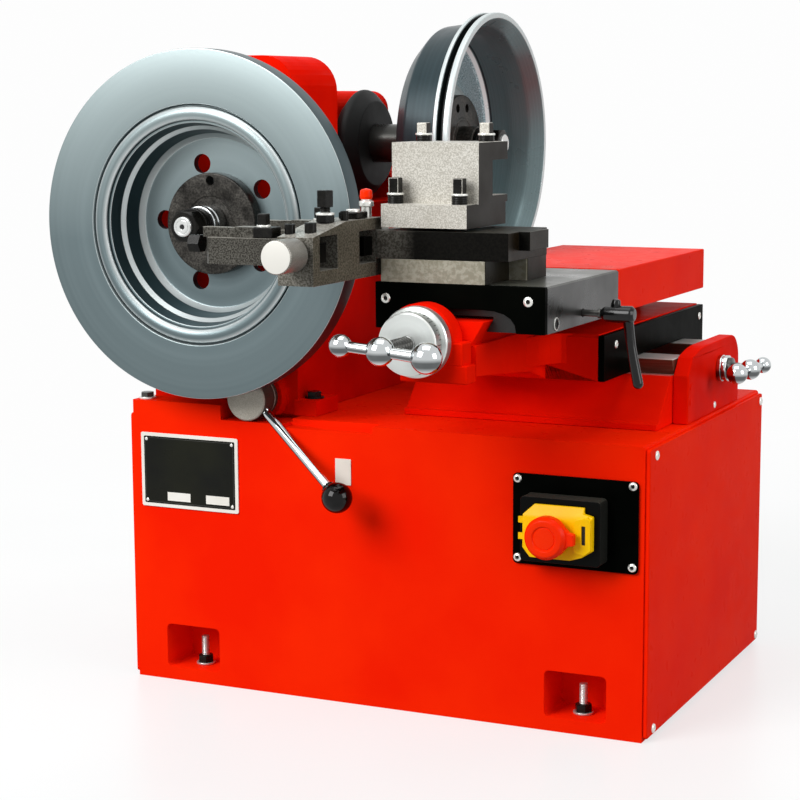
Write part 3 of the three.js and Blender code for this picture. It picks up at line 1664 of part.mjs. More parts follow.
// Cross screw, dial and three-ball handle on one axis along Y
const bracketFace = nose.frontY - gap - screwBracket.thickness;

function crossScrew() {
  const neckEnd = cross.handleY + cross.hubRadius + running + gap;
  return rod("y", crossLine, cross.radius, neckEnd, cross.rear);
}

function crossDial() {
  const back = bracketFace - gap;
  const front = back - cross.dialLength;
  const rim = back - cross.dialRimLength;
  const { dialRadius: outer, dialFaceRadius: face, dialGroove: groove } = cross;
  return revolve("y", crossLine, [
    [cross.radius + gap, front],
    [face, front],
    [outer - 2 * groove, front + (outer - face) / 3],
    [outer - 2 * groove, rim - groove],
    [outer - 3 * groove, rim],
    [outer, rim + groove],
    [outer, back - groove],
    [outer - groove, back],
    [cross.radius + gap, back],
    [cross.radius + gap, front],
  ], ringSides);
}

function crossHandle() {
  const hub = [cross.x, cross.handleY, cross.z];
  const lean = (cross.tilt * Math.PI) / 180;
  const small = [cross.x - cross.smallReach, cross.handleY, cross.z + cross.smallReach * Math.sin(lean)];
  const large = [cross.x + cross.largeReach, cross.handleY, cross.z - cross.largeReach * Math.sin(lean)];
  const neckTo = [cross.x, cross.handleY + cross.hubRadius + running, cross.z];
  const ends = [[small, cross.smallRadius], [large, cross.largeRadius]];
  return ballCrank([hub, cross.hubRadius], ends, cross.barRadius, neckTo, cross.radius);
}

add("cross_screw", crossScrew(), satinSteel, crossLine);
add("cross_dial", crossDial(), chrome, crossLine);
add("cross_handle", crossHandle(), chrome, [cross.x, cross.handleY, cross.z]);

// Table: the black slide over the dovetail, its front plate and the red guard over its rear half
function dovetailGroove(from, to) {
  const { centreX, neckHalf, topHalf, neckZ, topZ } = nose;
  const play = running;
  const low = table.bottom - over;
  const lowShare = (low - neckZ) / (topZ - neckZ);
  const lowHalf = neckHalf + (topHalf - neckHalf) * lowShare + 2 * play;
  return prism("y", [
    [centreX - lowHalf, low],
    [centreX + lowHalf, low],
    [centreX + topHalf + 2 * play, topZ + play],
    [centreX + topHalf + 2 * play, table.grooveTop],
    [centreX - topHalf - 2 * play, table.grooveTop],
    [centreX - topHalf - 2 * play, topZ + play],
  ], from, to);
}

const tableFront = table.front + table.plateThickness + gap;

function crossTable() {
  const { left, right, bottom, top, chamfer, coverWall } = table;
  const outline = [
    [left, bottom],
    [right, bottom],
    [right, top - chamfer],
    [right - chamfer, top],
    [left + chamfer, top],
    [left, top - chamfer],
  ];
  const frontPart = prism("y", outline, tableFront, table.splitY);
  const rearPart = block(
    [left + coverWall + gap, table.splitY - over, bottom + gap],
    [right - coverWall - gap, table.back - coverWall - gap, top - coverWall - gap],
  );
  const body = join(frontPart, rearPart);
  const seatCentre = [0, clampLever.y, clampLever.z];
  const seat = rod("x", seatCentre, clampLever.shaftRadius + gap, right - clampLever.seatDepth, right + over);
  const nutBack = crossNut.front + crossNut.length;
  const nut = block(
    [cross.x - crossNut.halfWidth, crossNut.front, cross.z - crossNut.drop],
    [cross.x + crossNut.halfWidth, nutBack, table.grooveTop + over],
  );
  const nutBore = rod("y", crossLine, cross.radius + gap, crossNut.front - over, nutBack + over);
  const slide = cut(body, dovetailGroove(tableFront - over, table.back + over), seat);
  return join(slide, cut(nut, nutBore));
}

function tableCover() {
  const { left, right, bottom, top, back, splitY, coverWall, coverRise } = table;
  const outer = block([left, splitY + gap, bottom], [right, back, top + coverRise]);
  const inner = block(
    [left + coverWall, splitY - over, bottom - over],
    [right - coverWall, back - coverWall, top - coverWall],
  );
  return cut(outer, inner, dovetailGroove(back - 2 * coverWall, back + over));
}

// The front plate, whose underside arches over the dovetail nose.
function tableEndPlate() {
  const { left, right, bottom, top, front, plateThickness, cutLeft, cutRight, cutTop } = table;
  const rise = cutTop - bottom;
  const shape = new THREE.Shape();
  shape.moveTo(left, bottom);
  shape.lineTo(cutLeft - rise, bottom);
  shape.quadraticCurveTo(cutLeft - rise / 3, cutTop, (cutLeft + nose.centreX) / 2, cutTop);
  shape.lineTo((cutRight + nose.centreX) / 2, cutTop);
  shape.quadraticCurveTo(cutRight, cutTop, cutRight, bottom);
  shape.lineTo(right, bottom);
  shape.lineTo(right, top);
  shape.lineTo(left, top);
  return prism("y", shape, front, front + plateThickness);
}

function clampLeverSolid() {
  const { y, z, shaftRadius, shaftLength, hubRadius, hubLength, seatDepth } = clampLever;
  const { tipDrop, tipOut, rootRadius, tipRadius, tabWidth, tabHeight, tabThickness } = clampLever;
  const centre = [0, y, z];
  const start = table.right;
  const hubFrom = start + shaftLength;
  const hubTo = hubFrom + hubLength;
  const shaft = rod("x", centre, shaftRadius, start - seatDepth + gap, hubFrom + over);
  const hub = rod("x", centre, hubRadius, hubFrom, hubTo);
  const root = [hubTo - hubRadius, y, z];
  const tip = [hubTo - hubRadius + tipOut, y, z - tipDrop];
  const tab = block(
    [hubFrom + over, y - tabThickness / 2, z],
    [hubFrom + over + tabWidth, y + tabThickness / 2, z + tabHeight],
  );
  return join(shaft, hub, strut(root, tip, rootRadius, tipRadius), ball(tip, tipRadius, tipSides), tab);
}

add("cross_table", crossTable(), paintBlack, [nose.centreX, 0, table.bottom]);
add("table_cover", tableCover(), paintRed, [nose.centreX, 0, table.bottom]);
add("table_end_plate", tableEndPlate(), paintBlack, [nose.centreX, table.front, table.bottom]);
add("clamp_lever", clampLeverSolid(), handleBlack, [table.right, clampLever.y, clampLever.z]);

// Tooling: base block, forked yoke for the disc, and the C-shaped holder for the drum's boring tool
const toolBaseBottom = table.top + gap;
const toolBaseTop = toolBaseBottom + toolBase.height;
const yokePlateBottom = toolBaseTop + gap;
const yokePlateTop = yokePlateBottom + yokePlate.thickness;
const postX = (toolPost.left + toolPost.right) / 2;
const postY = (toolPost.front + toolPost.back) / 2;
const postAxis = [postX, postY, 0];

function toolBaseBlock() {
  const { left, right, front, back, stepRight, stepY, round } = toolBase;
  const narrow = roundedRectangle(left, right, front, stepY + over, round);
  const wide = roundedRectangle(left, stepRight, stepY, back, round);
  const slabs = [narrow, wide].map((outline) => prism("z", outline, toolBaseBottom, toolBaseTop, tightSteps));
  return join(...slabs);
}

// The forked head is open through both windows, where the arms' square tails slide.
function cutterYoke() {
  const y = yoke;
  const plate = block(
    [y.right - over, table.front, yokePlateBottom],
    [yokePlate.right, yokePlate.back, yokePlateTop],
  );
  const tongueBottom = yokePlateBottom + yokePlate.thickness / 3;
  const tongue = block(
    [yokePlate.right - over, yokePlate.tongueFront, tongueBottom],
    [yokePlate.tongueRight, yokePlate.tongueBack, yokePlateTop],
  );
  const headBlock = prism("x", [
    [y.front, y.bottom],
    [y.back, y.bottom],
    [y.back, y.top],
    [y.slopeEndY, y.top],
    [y.front, y.frontTop],
  ], y.left, y.right);
  const windowBottom = adjuster.z - y.windowHeight / 2;
  const windowTop = windowBottom + y.windowHeight;
  const windows = [y.front + y.windowInset, y.back - y.windowInset - y.windowWidth].map((from) =>
    block([y.left - over, from, windowBottom], [y.right + over, from + y.windowWidth, windowTop]),
  );
  const stem = rod("y", adjusterLine, adjuster.stemRadius + gap, y.front - over, y.back + over);
  const knobRoom = block(
    [y.right - 2 * over, y.back - over, yokePlateBottom - over],
    [y.right + over, yokePlate.back + over, yokePlateTop + over],
  );
  const studTop = toolPost.bottom + toolPost.studRadius;
  const stud = rod("z", postAxis, toolPost.studRadius, yokePlateTop - over, studTop);
  return cut(join(cut(plate, knobRoom), tongue, headBlock, stud), ...windows, stem);
}

// An arm with a square tail through the head, and a square cutting bit along its top.
// The direction is 1 for the front arm, which cuts toward the back, and -1 for the rear arm.
function cutterArmSolid(face, depth, direction) {
  const y = yoke;
  const c = cutterArm;
  const top = c.bottom + c.height;
  const back = face + direction * depth;
  const left = y.left - gap;
  const arm = prism("z", [
    [c.tipX, face + (direction * c.noseTaper) / 2],
    [c.tipX + c.noseTaper / 2, face],
    [left, face],
    [left, back],
    [c.tipX + c.noseTaper, back],
    [c.tipX, back - direction * c.noseTaper],
  ], c.bottom, top);
  const tailNear = face + direction * c.tailSetback;
  const tailFar = tailNear + direction * c.tailWidth;
  const tail = block(
    [left - over, Math.min(tailNear, tailFar), adjuster.z - c.tailHeight / 2],
    [c.tailEnd, Math.max(tailNear, tailFar), adjuster.z + c.tailHeight / 2],
  );
  const bitX = c.tipX - c.bitOverhang;
  const bitY = face + (direction * (depth - c.bitSize)) / 2;
  const bitBack = bitY + direction * c.bitSize;
  const bit = prism("z", [
    [bitX, bitY + (direction * c.bitSize) / 2],
    [bitX + c.bitTip / 2, bitY],
    [bitX + c.bitLength, bitY],
    [bitX + c.bitLength, bitBack],
    [bitX + c.bitTip / 2, bitBack + direction * c.bitTip],
    [bitX, bitBack + (direction * c.bitTip) / 2],
  ], top - gap, top + c.bitSize);
  const clampY = [bitY - (direction * c.bitTip) / 2, bitBack + direction * c.bitTip];
  const clampPlate = block(
    [bitX + c.bitLength - over, Math.min(...clampY), top - gap],
    [bitX + c.bitLength + c.clampLength, Math.max(...clampY), top + c.clampRise],
  );
  const bore = rod("y", adjusterLine, adjuster.stemRadius + gap, y.front, y.back);
  return cut(join(arm, tail, bit, clampPlate), bore);
}

// The knurled knob on its screw, which runs through the head into the arm's tail.
function adjusterKnob(face, direction) {
  const near = face - direction * gap;
  const far = near - direction * adjuster.length;
  const reach = face + direction * (cutterArm.tailSetback + cutterArm.tailWidth);
  const [low, high] = near < far ? [near, far] : [far, near];
  const grip = drumRod("y", adjusterLine, adjuster.radius, low, high, adjuster.chamfer, ringSides);
  return join(grip, rod("y", adjusterLine, adjuster.stemRadius, near - direction * over, reach));
}

function squareBolt(x, y, seat, rise) {
  const half = toolPost.boltAcross / 2;
  const collarTop = seat + rise * toolPost.collarShare;
  const collarBody = rod("z", [x, y, 0], toolPost.boltCollar, seat - gap, collarTop, tipSides);
  const headSolid = block([x - half, y - half, collarTop - gap], [x + half, y + half, seat + rise]);
  return join(collarBody, headSolid);
}

function drumToolPost() {
  const p = toolPost;
  const cSection = prism("x", [
    [p.bodyFront, p.flangeTop - gap],
    [p.back, p.flangeTop - gap],
    [p.back, p.slotBottom],
    [p.slotFront, p.slotBottom],
    [p.slotFront, p.slotTop],
    [p.back, p.slotTop],
    [p.back, p.top],
    [p.bodyFront, p.top],
  ], p.left + gap, p.right + p.bodyOver);
  const flange = block([p.left, p.front, p.bottom], [p.right, p.back, p.flangeTop]);
  const bolts = [];
  for (const share of p.boltInsetShares) {
    const x = p.left + (p.right - p.left) * share;
    bolts.push(squareBolt(x, (p.front + p.bodyFront) / 2, p.flangeTop, p.frontBoltRise));
    bolts.push(squareBolt(x, (p.slotFront + p.back) / 2, p.top, p.boltRise));
  }
  const holeRadius = p.studRadius + gap;
  const studHole = rod("z", postAxis, holeRadius, p.bottom - over, p.bottom + holeRadius, ringSides);
  return cut(join(cSection, flange, ...bolts), studHole);
}

add("tool_base_block", toolBaseBlock(), toolSteel, [postX, postY, toolBaseBottom]);
add("cutter_yoke", cutterYoke(), darkSteel, [postX, postY, yokePlateBottom]);
const armSeat = [yoke.left, yoke.front, cutterArm.bottom];
const rearArmSeat = [yoke.left, table.front, cutterArm.bottom];
add("front_cutter_arm", cutterArmSolid(yoke.front, cutterArm.frontDepth, 1), darkSteel, armSeat);
add("rear_cutter_arm", cutterArmSolid(yoke.back, cutterArm.rearDepth, -1), darkSteel, rearArmSeat);
add("front_adjuster", adjusterKnob(yoke.front, 1), toolSteel, [adjuster.x, yoke.front, adjuster.z]);
add("rear_adjuster", adjusterKnob(yoke.back, -1), toolSteel, [adjuster.x, yoke.back, adjuster.z]);
add("drum_tool_post", drumToolPost(), toolSteel, [postX, postY, toolPost.bottom]);

// Switch: plate, box, start button, hinged yellow lid and the red mushroom on it
const plateBack = -halfDepth - gap;
const plateFront = plateBack - switchPlate.thickness;
const boxBack = plateFront - gap;
const boxFront = boxBack - housing.depth;
const lidBack = boxFront - gap;
const lidFront = lidBack - lid.thickness;

function switchBox() {
  const { left, right, bottom, top, cornerRadius } = housing;
  const outline = roundedRectangle(left, right, bottom, top, cornerRadius);
  const body = prism("y", outline, boxFront, boxBack, cornerSteps);
  const depth = boxFront + startButton.depth;
  const start = rod("y", [startButton.x, 0, startButton.z], startButton.radius + gap, boxFront - over, depth);
  const stop = rod("y", [stopButton.x, 0, stopButton.z], stopButton.stemRadius + gap, boxFront - over, depth);
  return cut(body, start, stop);
}

function startButtonSolid() {
  const centre = [startButton.x, 0, startButton.z];
  const front = boxFront - startButton.rise;
  return drumRod("y", centre, startButton.radius, front, boxFront + startButton.depth / 2, gap);
}

// A shallow cap, open behind, hinged along its left edge by two ears.
function switchLid() {
  const { left, right, bottom, top, cornerRadius, wall, earWidth, earHeight } = lid;
  const outer = roundedRectangle(left, right, bottom, top, cornerRadius);
  const innerSides = [left + wall, right - wall, bottom + wall, top - wall];
  const inner = roundedRectangle(...innerSides, cornerRadius - wall);
  const cap = prism("y", outer, lidFront, lidBack, cornerSteps);
  const shell = cut(cap, prism("y", inner, lidFront + wall, lidBack + over, cornerSteps));
  const hingeX = left - earWidth + wall / 2;
  const ears = [bottom + earHeight, top - earHeight].map((middle) => {
    const low = middle - earHeight / 2;
    const high = middle + earHeight / 2;
    const leaf = block([hingeX, lidBack - wall, low], [left + wall, lidBack, high]);
    return join(leaf, rod("z", [hingeX, lidBack - wall / 2, 0], wall / 2, low, high));
  });
  const stem = stopButton.stemRadius + gap;
  const hole = rod("y", [stopButton.x, 0, stopButton.z], stem, lidFront - over, lidBack + over);
  return cut(join(shell, ...ears), hole);
}

function mushroom() {
  const { x, z, radius, stemRadius, rise, crown, crownShares, tabWidth, tabReach } = stopButton;
  const back = lidFront - 2 * gap - startButton.rise;
  const front = back - rise;
  const profile = [
    [0, front],
    ...crownShares.map(([across, along]) => [radius * across, front + crown * along]),
    [radius, front + crown],
    [radius, back - gap],
    [radius - gap, back],
    [stemRadius, back],
    [stemRadius, boxFront - gap],
    [0, boxFront - gap],
  ];
  const cap = revolve("y", [x, 0, z], profile, ringSides);
  const tab = block([x, front + crown, z - tabWidth / 2], [x + tabReach, back, z + tabWidth / 2]);
  return join(cap, tab);
}

function platePanel() {
  const { left, right, bottom, top, cornerRadius } = switchPlate;
  const outline = roundedRectangle(left, right, bottom, top, cornerRadius);
  return prism("y", outline, plateFront, plateBack, cornerSteps);
}

add("switch_plate", platePanel(), paintBlack);
add("switch_housing", switchBox(), yellow);
add("start_button", startButtonSolid(), buttonGreen);
add("switch_lid", switchLid(), yellow);
add("stop_button", mushroom(), buttonRed);

export default lathe;
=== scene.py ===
# Dresses the bench brake lathe: camera, light, materials and the finely turned pieces.
from math import asin, cos, degrees, pi, radians, sin, tan
import bpy
import bmesh
from mathutils import Matrix, Vector


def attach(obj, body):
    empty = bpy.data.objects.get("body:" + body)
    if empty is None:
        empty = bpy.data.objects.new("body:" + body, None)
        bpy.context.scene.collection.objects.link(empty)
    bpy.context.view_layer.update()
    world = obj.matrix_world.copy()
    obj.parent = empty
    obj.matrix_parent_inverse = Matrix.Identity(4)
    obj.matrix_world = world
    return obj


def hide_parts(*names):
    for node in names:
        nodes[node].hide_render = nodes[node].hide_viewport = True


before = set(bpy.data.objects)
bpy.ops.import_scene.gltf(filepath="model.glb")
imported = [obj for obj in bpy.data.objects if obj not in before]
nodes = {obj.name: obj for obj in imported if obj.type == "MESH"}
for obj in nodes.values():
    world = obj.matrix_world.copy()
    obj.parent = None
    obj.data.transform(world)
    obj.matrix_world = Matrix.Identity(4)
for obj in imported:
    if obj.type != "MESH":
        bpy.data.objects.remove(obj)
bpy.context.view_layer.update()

# Pieces are written in millimetres, materials in metres, and edges are sharp beyond so many degrees
MM = 0.001
SHARP = 32
WELD = 0.00002
NEARLY_STRAIGHT = 3.1
RIGHT, LEFT = (1, 0, 0), (-1, 0, 0)
BACK, FRONT = (0, 1, 0), (0, -1, 0)
UP = (0, 0, 1)

# A point on the axis of each piece that turns or is pressed
DISC = (-172, 0, 456)
DRUM = (0, 71, 527)
CROSS_SCREW = (108, 0, 371)
LEAD_SCREW = (0, 42, 311.6)
FEED_LEVER = (-137, 0, 288)
CLAMP_LEVER = (0, -197, 387)
ADJUSTERS = (36, 0, 448)
STOP_BUTTON = (188, 0, 190)
START_BUTTON = (206, 0, 177.5)

# Camera, at the photograph's place and angle: turned, pitched and rolled in degrees, focal length in pixels
CAMERA_PLACE = (0.8009, -1.8323, 0.5724)
CAMERA_TURN = (25.2, 8.6, -0.29)
FOCAL, PICTURE, SENSOR = 1986, 800, 36


def make_camera():
    yaw, pitch, roll = (radians(a) for a in CAMERA_TURN)
    ahead = Vector((-sin(yaw) * cos(pitch), cos(yaw) * cos(pitch), -sin(pitch)))
    right = Vector((cos(yaw), sin(yaw), 0))
    up = right.cross(ahead)
    rolled_right = cos(roll) * right + sin(roll) * up
    rolled_up = cos(roll) * up - sin(roll) * right
    data = bpy.data.cameras.new("camera")
    data.sensor_width = SENSOR
    data.lens = FOCAL / PICTURE * SENSOR
    data.clip_end = 50
    camera = add("camera", data)
    turn_to = Matrix((rolled_right, rolled_up, -ahead)).transposed()
    camera.matrix_world = Matrix.Translation(CAMERA_PLACE) @ turn_to.to_4x4()
    bpy.context.scene.camera = camera


def add(name, data):
    """Puts new data into the scene as an object."""
    made = bpy.data.objects.new(name, data)
    bpy.context.scene.collection.objects.link(made)
    return made


# Materials
def linear(colour):
    value = colour.lstrip("#")
    parts = [int(value[i:i + 2], 16) / 255 for i in (0, 2, 4)]
    return tuple(p / 12.92 if p <= 0.04045 else ((p + 0.055) / 1.055) ** 2.4 for p in parts) + (1.0,)


class Nodes:
    """A node tree under construction: nodes are added and linked by short calls."""

    def __init__(self, tree):
        self.tree = tree

    def node(self, kind, **values):
        made = self.tree.nodes.new("ShaderNode" + kind)
        for key, value in values.items():
            if hasattr(made, key) and key not in made.inputs:
                setattr(made, key, value)
            else:
                made.inputs[key].default_value = value
        return made

    def feed(self, socket, value):
        """Gives a socket another node's output, a written colour or a number."""
        if isinstance(value, bpy.types.NodeSocket):
            self.tree.links.new(value, socket)
        else:
            socket.default_value = linear(value) if isinstance(value, str) else value

    def through(self, kind, *inputs, **values):
        """Adds a node, feeds its inputs in their order, and gives its first output."""
        made = self.node(kind, **values)
        for socket, value in zip(made.inputs, inputs):
            self.feed(socket, value)
        return made.outputs[0]

    def mix(self, factor, a, b, kind="MIX"):
        made = self.node("Mix", data_type="RGBA", blend_type=kind)
        for index, value in ((0, factor), (6, a), (7, b)):
            self.feed(made.inputs[index], value)
        return made.outputs[2]

    def maths(self, operation, a, b=0.0):
        return self.through("Math", a, b, operation=operation)

    def times(self, a, b):
        return self.maths("MULTIPLY", a, b)

    def span(self, value, a, b, c, d):
        """Goes from c to d as the value goes from a to b."""
        return self.through("MapRange", value, a, b, c, d, clamp=True)

    def seen(self):
        """One where a ray comes from the camera, a reflection or glass."""
        path = self.node("LightPath")
        total = path.outputs["Is Camera Ray"]
        for key in ("Is Glossy Ray", "Is Transmission Ray"):
            total = self.maths("MAXIMUM", total, path.outputs[key])
        return total


class Shader(Nodes):
    """A material, with the values that are the same all over it."""

    def __init__(self, name, **values):
        self.material = bpy.data.materials.new(name)
        self.material.use_nodes = True
        super().__init__(self.material.node_tree)
        self.main = self.tree.nodes["Principled BSDF"]
        for key, value in values.items():
            self.main.inputs[key.replace("_", " ")].default_value = value
        spot = self.node("TexCoord")
        self.place = spot.outputs["Object"]
        self.normal = spot.outputs["Normal"]

    def noise(self, scale, detail, roughness=0.5, where=None, distortion=0.0):
        return self.through("TexNoise", where or self.place,
                            Scale=scale, Detail=detail, Roughness=roughness, Distortion=distortion)

    def beyond(self, value, low, high):
        return self.span(value, low, high, 0, 1)

    def below(self, value, low, high):
        return self.span(value, low, high, 1, 0)

    def band(self, value, rise, fall):
        """One between two spans, and 0 outside them."""
        return self.times(self.beyond(value, *rise), self.below(value, *fall))

    def tones(self, noise, first, second):
        """Two colours that pass softly into each other, as the noise goes."""
        return self.mix(self.span(noise, 0.35, 0.65, 0, 1), first, second)

    def parts(self, vector):
        made = self.node("SeparateXYZ")
        self.feed(made.inputs[0], vector)
        return made.outputs

    def offsets(self, centre, axis):
        """The two offsets across an axis through a centre, then the one along it, in metres."""
        middle = [c * MM for c in centre]
        parts = self.parts(self.through("VectorMath", self.place, middle, operation="SUBTRACT"))
        along = "xyz".index(axis)
        return [parts[i] for i in range(3) if i != along] + [parts[along]]

    def radius(self, centre, axis):
        """Distance from an axis through a centre, in metres."""
        first, second, _ = self.offsets(centre, axis)
        total = self.maths("ADD", self.times(first, first), self.times(second, second))
        return self.maths("SQRT", total)

    def rings(self, distance, scale):
        """Noise that changes only with the distance given, as turning leaves."""
        return self.noise(scale, 2, where=self.through("CombineXYZ", distance))

    def colour(self, output):
        self.feed(self.main.inputs["Base Color"], output)

    def rough(self, noise, low, high):
        """Roughness between two values, as the noise goes."""
        self.feed(self.main.inputs["Roughness"], self.span(noise, 0.3, 0.7, low, high))

    def bump(self, *layers):
        """Each layer is (height output, strength, depth in mm)."""
        before = None
        for height, strength, depth in layers:
            made = self.node("Bump", Strength=strength, Distance=depth * MM)
            self.feed(made.inputs["Height"], height)
            if before:
                self.feed(made.inputs["Normal"], before)
            before = made.outputs["Normal"]
        self.feed(self.main.inputs["Normal"], before)


def paint(name, light, dark, grain, depth, roughness, shine=0.003):
    s = Shader(name, Specular_IOR_Level=shine)
    s.colour(s.tones(s.noise(9, 4), light, dark))
    s.rough(s.noise(60, 3), roughness - 0.04, roughness + 0.06)
    s.bump((s.noise(grain, 2), 0.05, depth))
    return s.material


def bed_metal(shoulder):
    """Red casting up to the shoulder, ground steel ways above it."""
    s = Shader("bed_metal", Specular_IOR_Level=0.003)
    way = s.beyond(s.parts(s.place)[2], (shoulder - 0.1) * MM, (shoulder + 0.3) * MM)
    lines = s.noise(30, 4, where=s.through("Mapping", s.place, Scale=(1, 40, 40)))
    cast = s.tones(s.noise(9, 4), "#f91a03", "#e21002")
    top = s.tones(lines, "#c3c2bd", "#dddcd8")
    side = s.tones(lines, "#5b4a3c", "#6e5b4c")
    ground = s.mix(s.beyond(s.parts(s.normal)[2], 0.5, 0.8), side, top)
    s.colour(s.mix(way, cast, ground))
    s.feed(s.main.inputs["Metallic"], s.times(way, 0.75))
    s.rough(lines, 0.28, 0.36)
    s.bump((lines, 0.05, 0.02))
    return s.material


def shade_by_face(s, front, side, top):
    """Painted light and shade by the way a face looks in its own piece: along y, along x, or up and down."""
    along = s.parts(s.normal)
    over = s.mix(s.beyond(s.maths("ABSOLUTE", along[2]), 0.6, 0.8), side, top)
    return s.mix(s.beyond(s.maths("ABSOLUTE", along[1]), 0.55, 0.75), over, front)


def steel(name, faces, pit, scale, roughness, share, metallic=0.22, other=None, edge=None, shine=0.06):
    """Steel under a fine dark speckle, with light and shade painted by face direction; other colours may
    start at an x.
    """
    s = Shader(name, Metallic=metallic, Specular_IOR_Level=shine)
    tone = shade_by_face(s, *faces)
    if other:
        tone = s.mix(s.beyond(s.parts(s.place)[0], edge[0] * MM, edge[1] * MM), tone, shade_by_face(s, *other))
    cloud = s.noise(26, 4)
    specks = s.noise(scale, 3, 0.6)
    pitted = s.mix(1.0, tone, pit, "MULTIPLY")
    tone = s.mix(s.span(cloud, 0.42, 0.7, 0, 0.3), tone, pitted)
    s.colour(s.mix(s.span(specks, 0.42, 0.58, share, 0), tone, pitted))
    s.rough(cloud, roughness - 0.08, roughness + 0.08)
    s.bump((specks, 0.3, 0.05))
    return s.material


def speckled(name, base, worn, pit, scale, roughness, metallic, depth):
    s = Shader(name, Metallic=metallic, Specular_IOR_Level=0.15)
    specks = s.noise(scale, 4, 0.6)
    grain = s.noise(scale * 0.12, 4, 0.6, distortion=0.4)
    tone = s.mix(s.span(grain, 0.35, 0.68, 0, 1), base, worn)
    s.colour(s.mix(s.span(specks, 0.4, 0.62, 0.7, 0), tone, pit))
    s.rough(grain, roughness - 0.1, roughness + 0.1)
    s.bump((specks, 0.3, depth))
    return s.material


def turned(name, base, other, centre, roughness, wall, edge, metallic, spread, painted_top_light=None):
    """Metal turned about y, with painted shade on its walls, painted highlights on its edges, and painted
    light towards a height.
    """
    s = Shader(name, Metallic=metallic)
    distance = s.radius(centre, "y")
    lines = s.rings(distance, 1400)
    tone = s.tones(s.rings(distance, 90), base, other)
    tone = s.mix(s.span(s.noise(11, 4), 0.3, 0.75, 0, 0.5), tone, other)
    # Painted light: the upper part is mixed towards a lighter colour.
    if painted_top_light:
        low, high, share, light = painted_top_light
        tone = s.mix(s.span(s.parts(s.place)[2], low, high, 0, share), tone, light)
    # Painted highlights on the edges and painted shade on the walls, chosen by the way the surface faces.
    flat = s.maths("ABSOLUTE", s.parts(s.normal)[1])
    tone = s.mix(s.below(flat, 0.62, 0.96), tone, edge)
    s.colour(s.mix(s.below(flat, 0.34, 0.66), tone, wall))
    s.rough(lines, roughness - spread, roughness + spread)
    s.bump((lines, 0.1, 0.015))
    return s.material


def plain(name, base, other, roughness, metallic=0.0, grain=260, depth=0.05, spread=0.04, shine=0.5):
    s = Shader(name, Metallic=metallic, Specular_IOR_Level=shine)
    s.colour(s.tones(s.noise(22, 4), base, other))
    s.rough(s.noise(70, 3), roughness - spread, roughness + spread)
    s.bump((s.noise(grain, 3), 0.2, depth))
    return s.material


def drum_metal():
    """Dark teal outside, machined lips and rim face brightened with painted highlights, a groove painted
    black as shade, grey barrel, speckled cast web, and a bright hub ring edged with painted highlight lines.
    """
    s = Shader("drum_metal", Metallic=0.28, Specular_IOR_Level=0.35)
    distance = s.radius(DRUM, "x")
    along = s.parts(s.place)[0]
    lines = s.rings(along, 1500)
    outside = s.tones(s.rings(along, 220), "#1c2d32", "#25373c")
    # The lips are machined and lighter than the cast outside, and are also painted near white as highlights.
    lip = s.tones(lines, "#b9c3c4", "#d3dbdb")
    outside = s.mix(s.beyond(along, 0.0015, 0.003), outside, lip)
    # Painted shade: the groove between the lips and its flanks are painted near black.
    groove = s.mix(s.beyond(distance, 0.1305, 0.132), "#0c1213", outside)
    outside = s.mix(s.band(along, (0.0066, 0.007), (0.014, 0.0144)), outside, groove)
    # The machined rim face, painted near white as a highlight.
    outside = s.mix(s.beyond(along, 0.0186, 0.0192), outside, "#c9d2d2")
    barrel = s.tones(lines, "#5f7679", "#778d8f")
    specks = s.noise(620, 3, 0.6)
    cast = s.mix(s.beyond(specks, 0.4, 0.6), "#647f84", "#b9cfd5")
    inside = s.mix(s.beyond(distance, 0.1105, 0.1135), cast, barrel)
    hub = s.tones(s.rings(distance, 500), "#97a1a2", "#adb6b6")
    inside = s.mix(s.below(distance, 0.0635, 0.0645), inside, hub)
    # Painted highlights: bright lines round the hub ring and at the web's outer corner.
    hub_highlight_line = s.band(distance, (0.0622, 0.063), (0.0658, 0.0666))
    corner = s.times(s.beyond(distance, 0.1082, 0.109), s.below(along, -0.036, -0.035))
    inside = s.mix(s.maths("MAXIMUM", hub_highlight_line, corner), inside, "#e2e8e8")
    mouth = s.span(along, 0, 0.019, 0.1175, 0.127)
    wall = s.maths("ADD", mouth, s.span(along, -0.0435, -0.03, -0.0095, 0))
    outer_side = s.beyond(s.maths("SUBTRACT", distance, wall), -0.0002, 0.0002)
    skin = s.maths("MAXIMUM", outer_side, s.below(along, -0.0436, -0.0434))
    s.colour(s.mix(skin, inside, outside))
    s.rough(s.noise(40, 3), 0.26, 0.38)
    s.bump((specks, 0.1, 0.04), (lines, 0.1, 0.02))
    return s.material


def knurled_metal(radius, pitch):
    """Steel with fine crossed knurling round the adjusters' axis, bright on its flat ends."""
    s = Shader("knurled_steel", Metallic=0.5, Roughness=0.34)
    first, second, along = s.offsets(ADJUSTERS, "y")
    teeth = round(2 * pi * radius / pitch)
    round_it = s.maths("SINE", s.times(s.maths("ARCTAN2", first, second), teeth))
    along_it = s.maths("SINE", s.times(along, 2 * pi / (pitch * MM)))
    height = s.times(round_it, along_it)
    side = s.mix(s.span(height, -0.6, 0.6, 0, 1), "#55524b", "#a8a59d")
    flat = s.beyond(s.maths("ABSOLUTE", s.parts(s.normal)[1]), 0.8, 0.9)
    s.colour(s.mix(flat, side, "#dddbd4"))
    s.bump((s.times(height, s.maths("SUBTRACT", 1, flat)), 0.4, 0.15), (s.noise(500, 3), 0.15, 0.02))
    return s.material


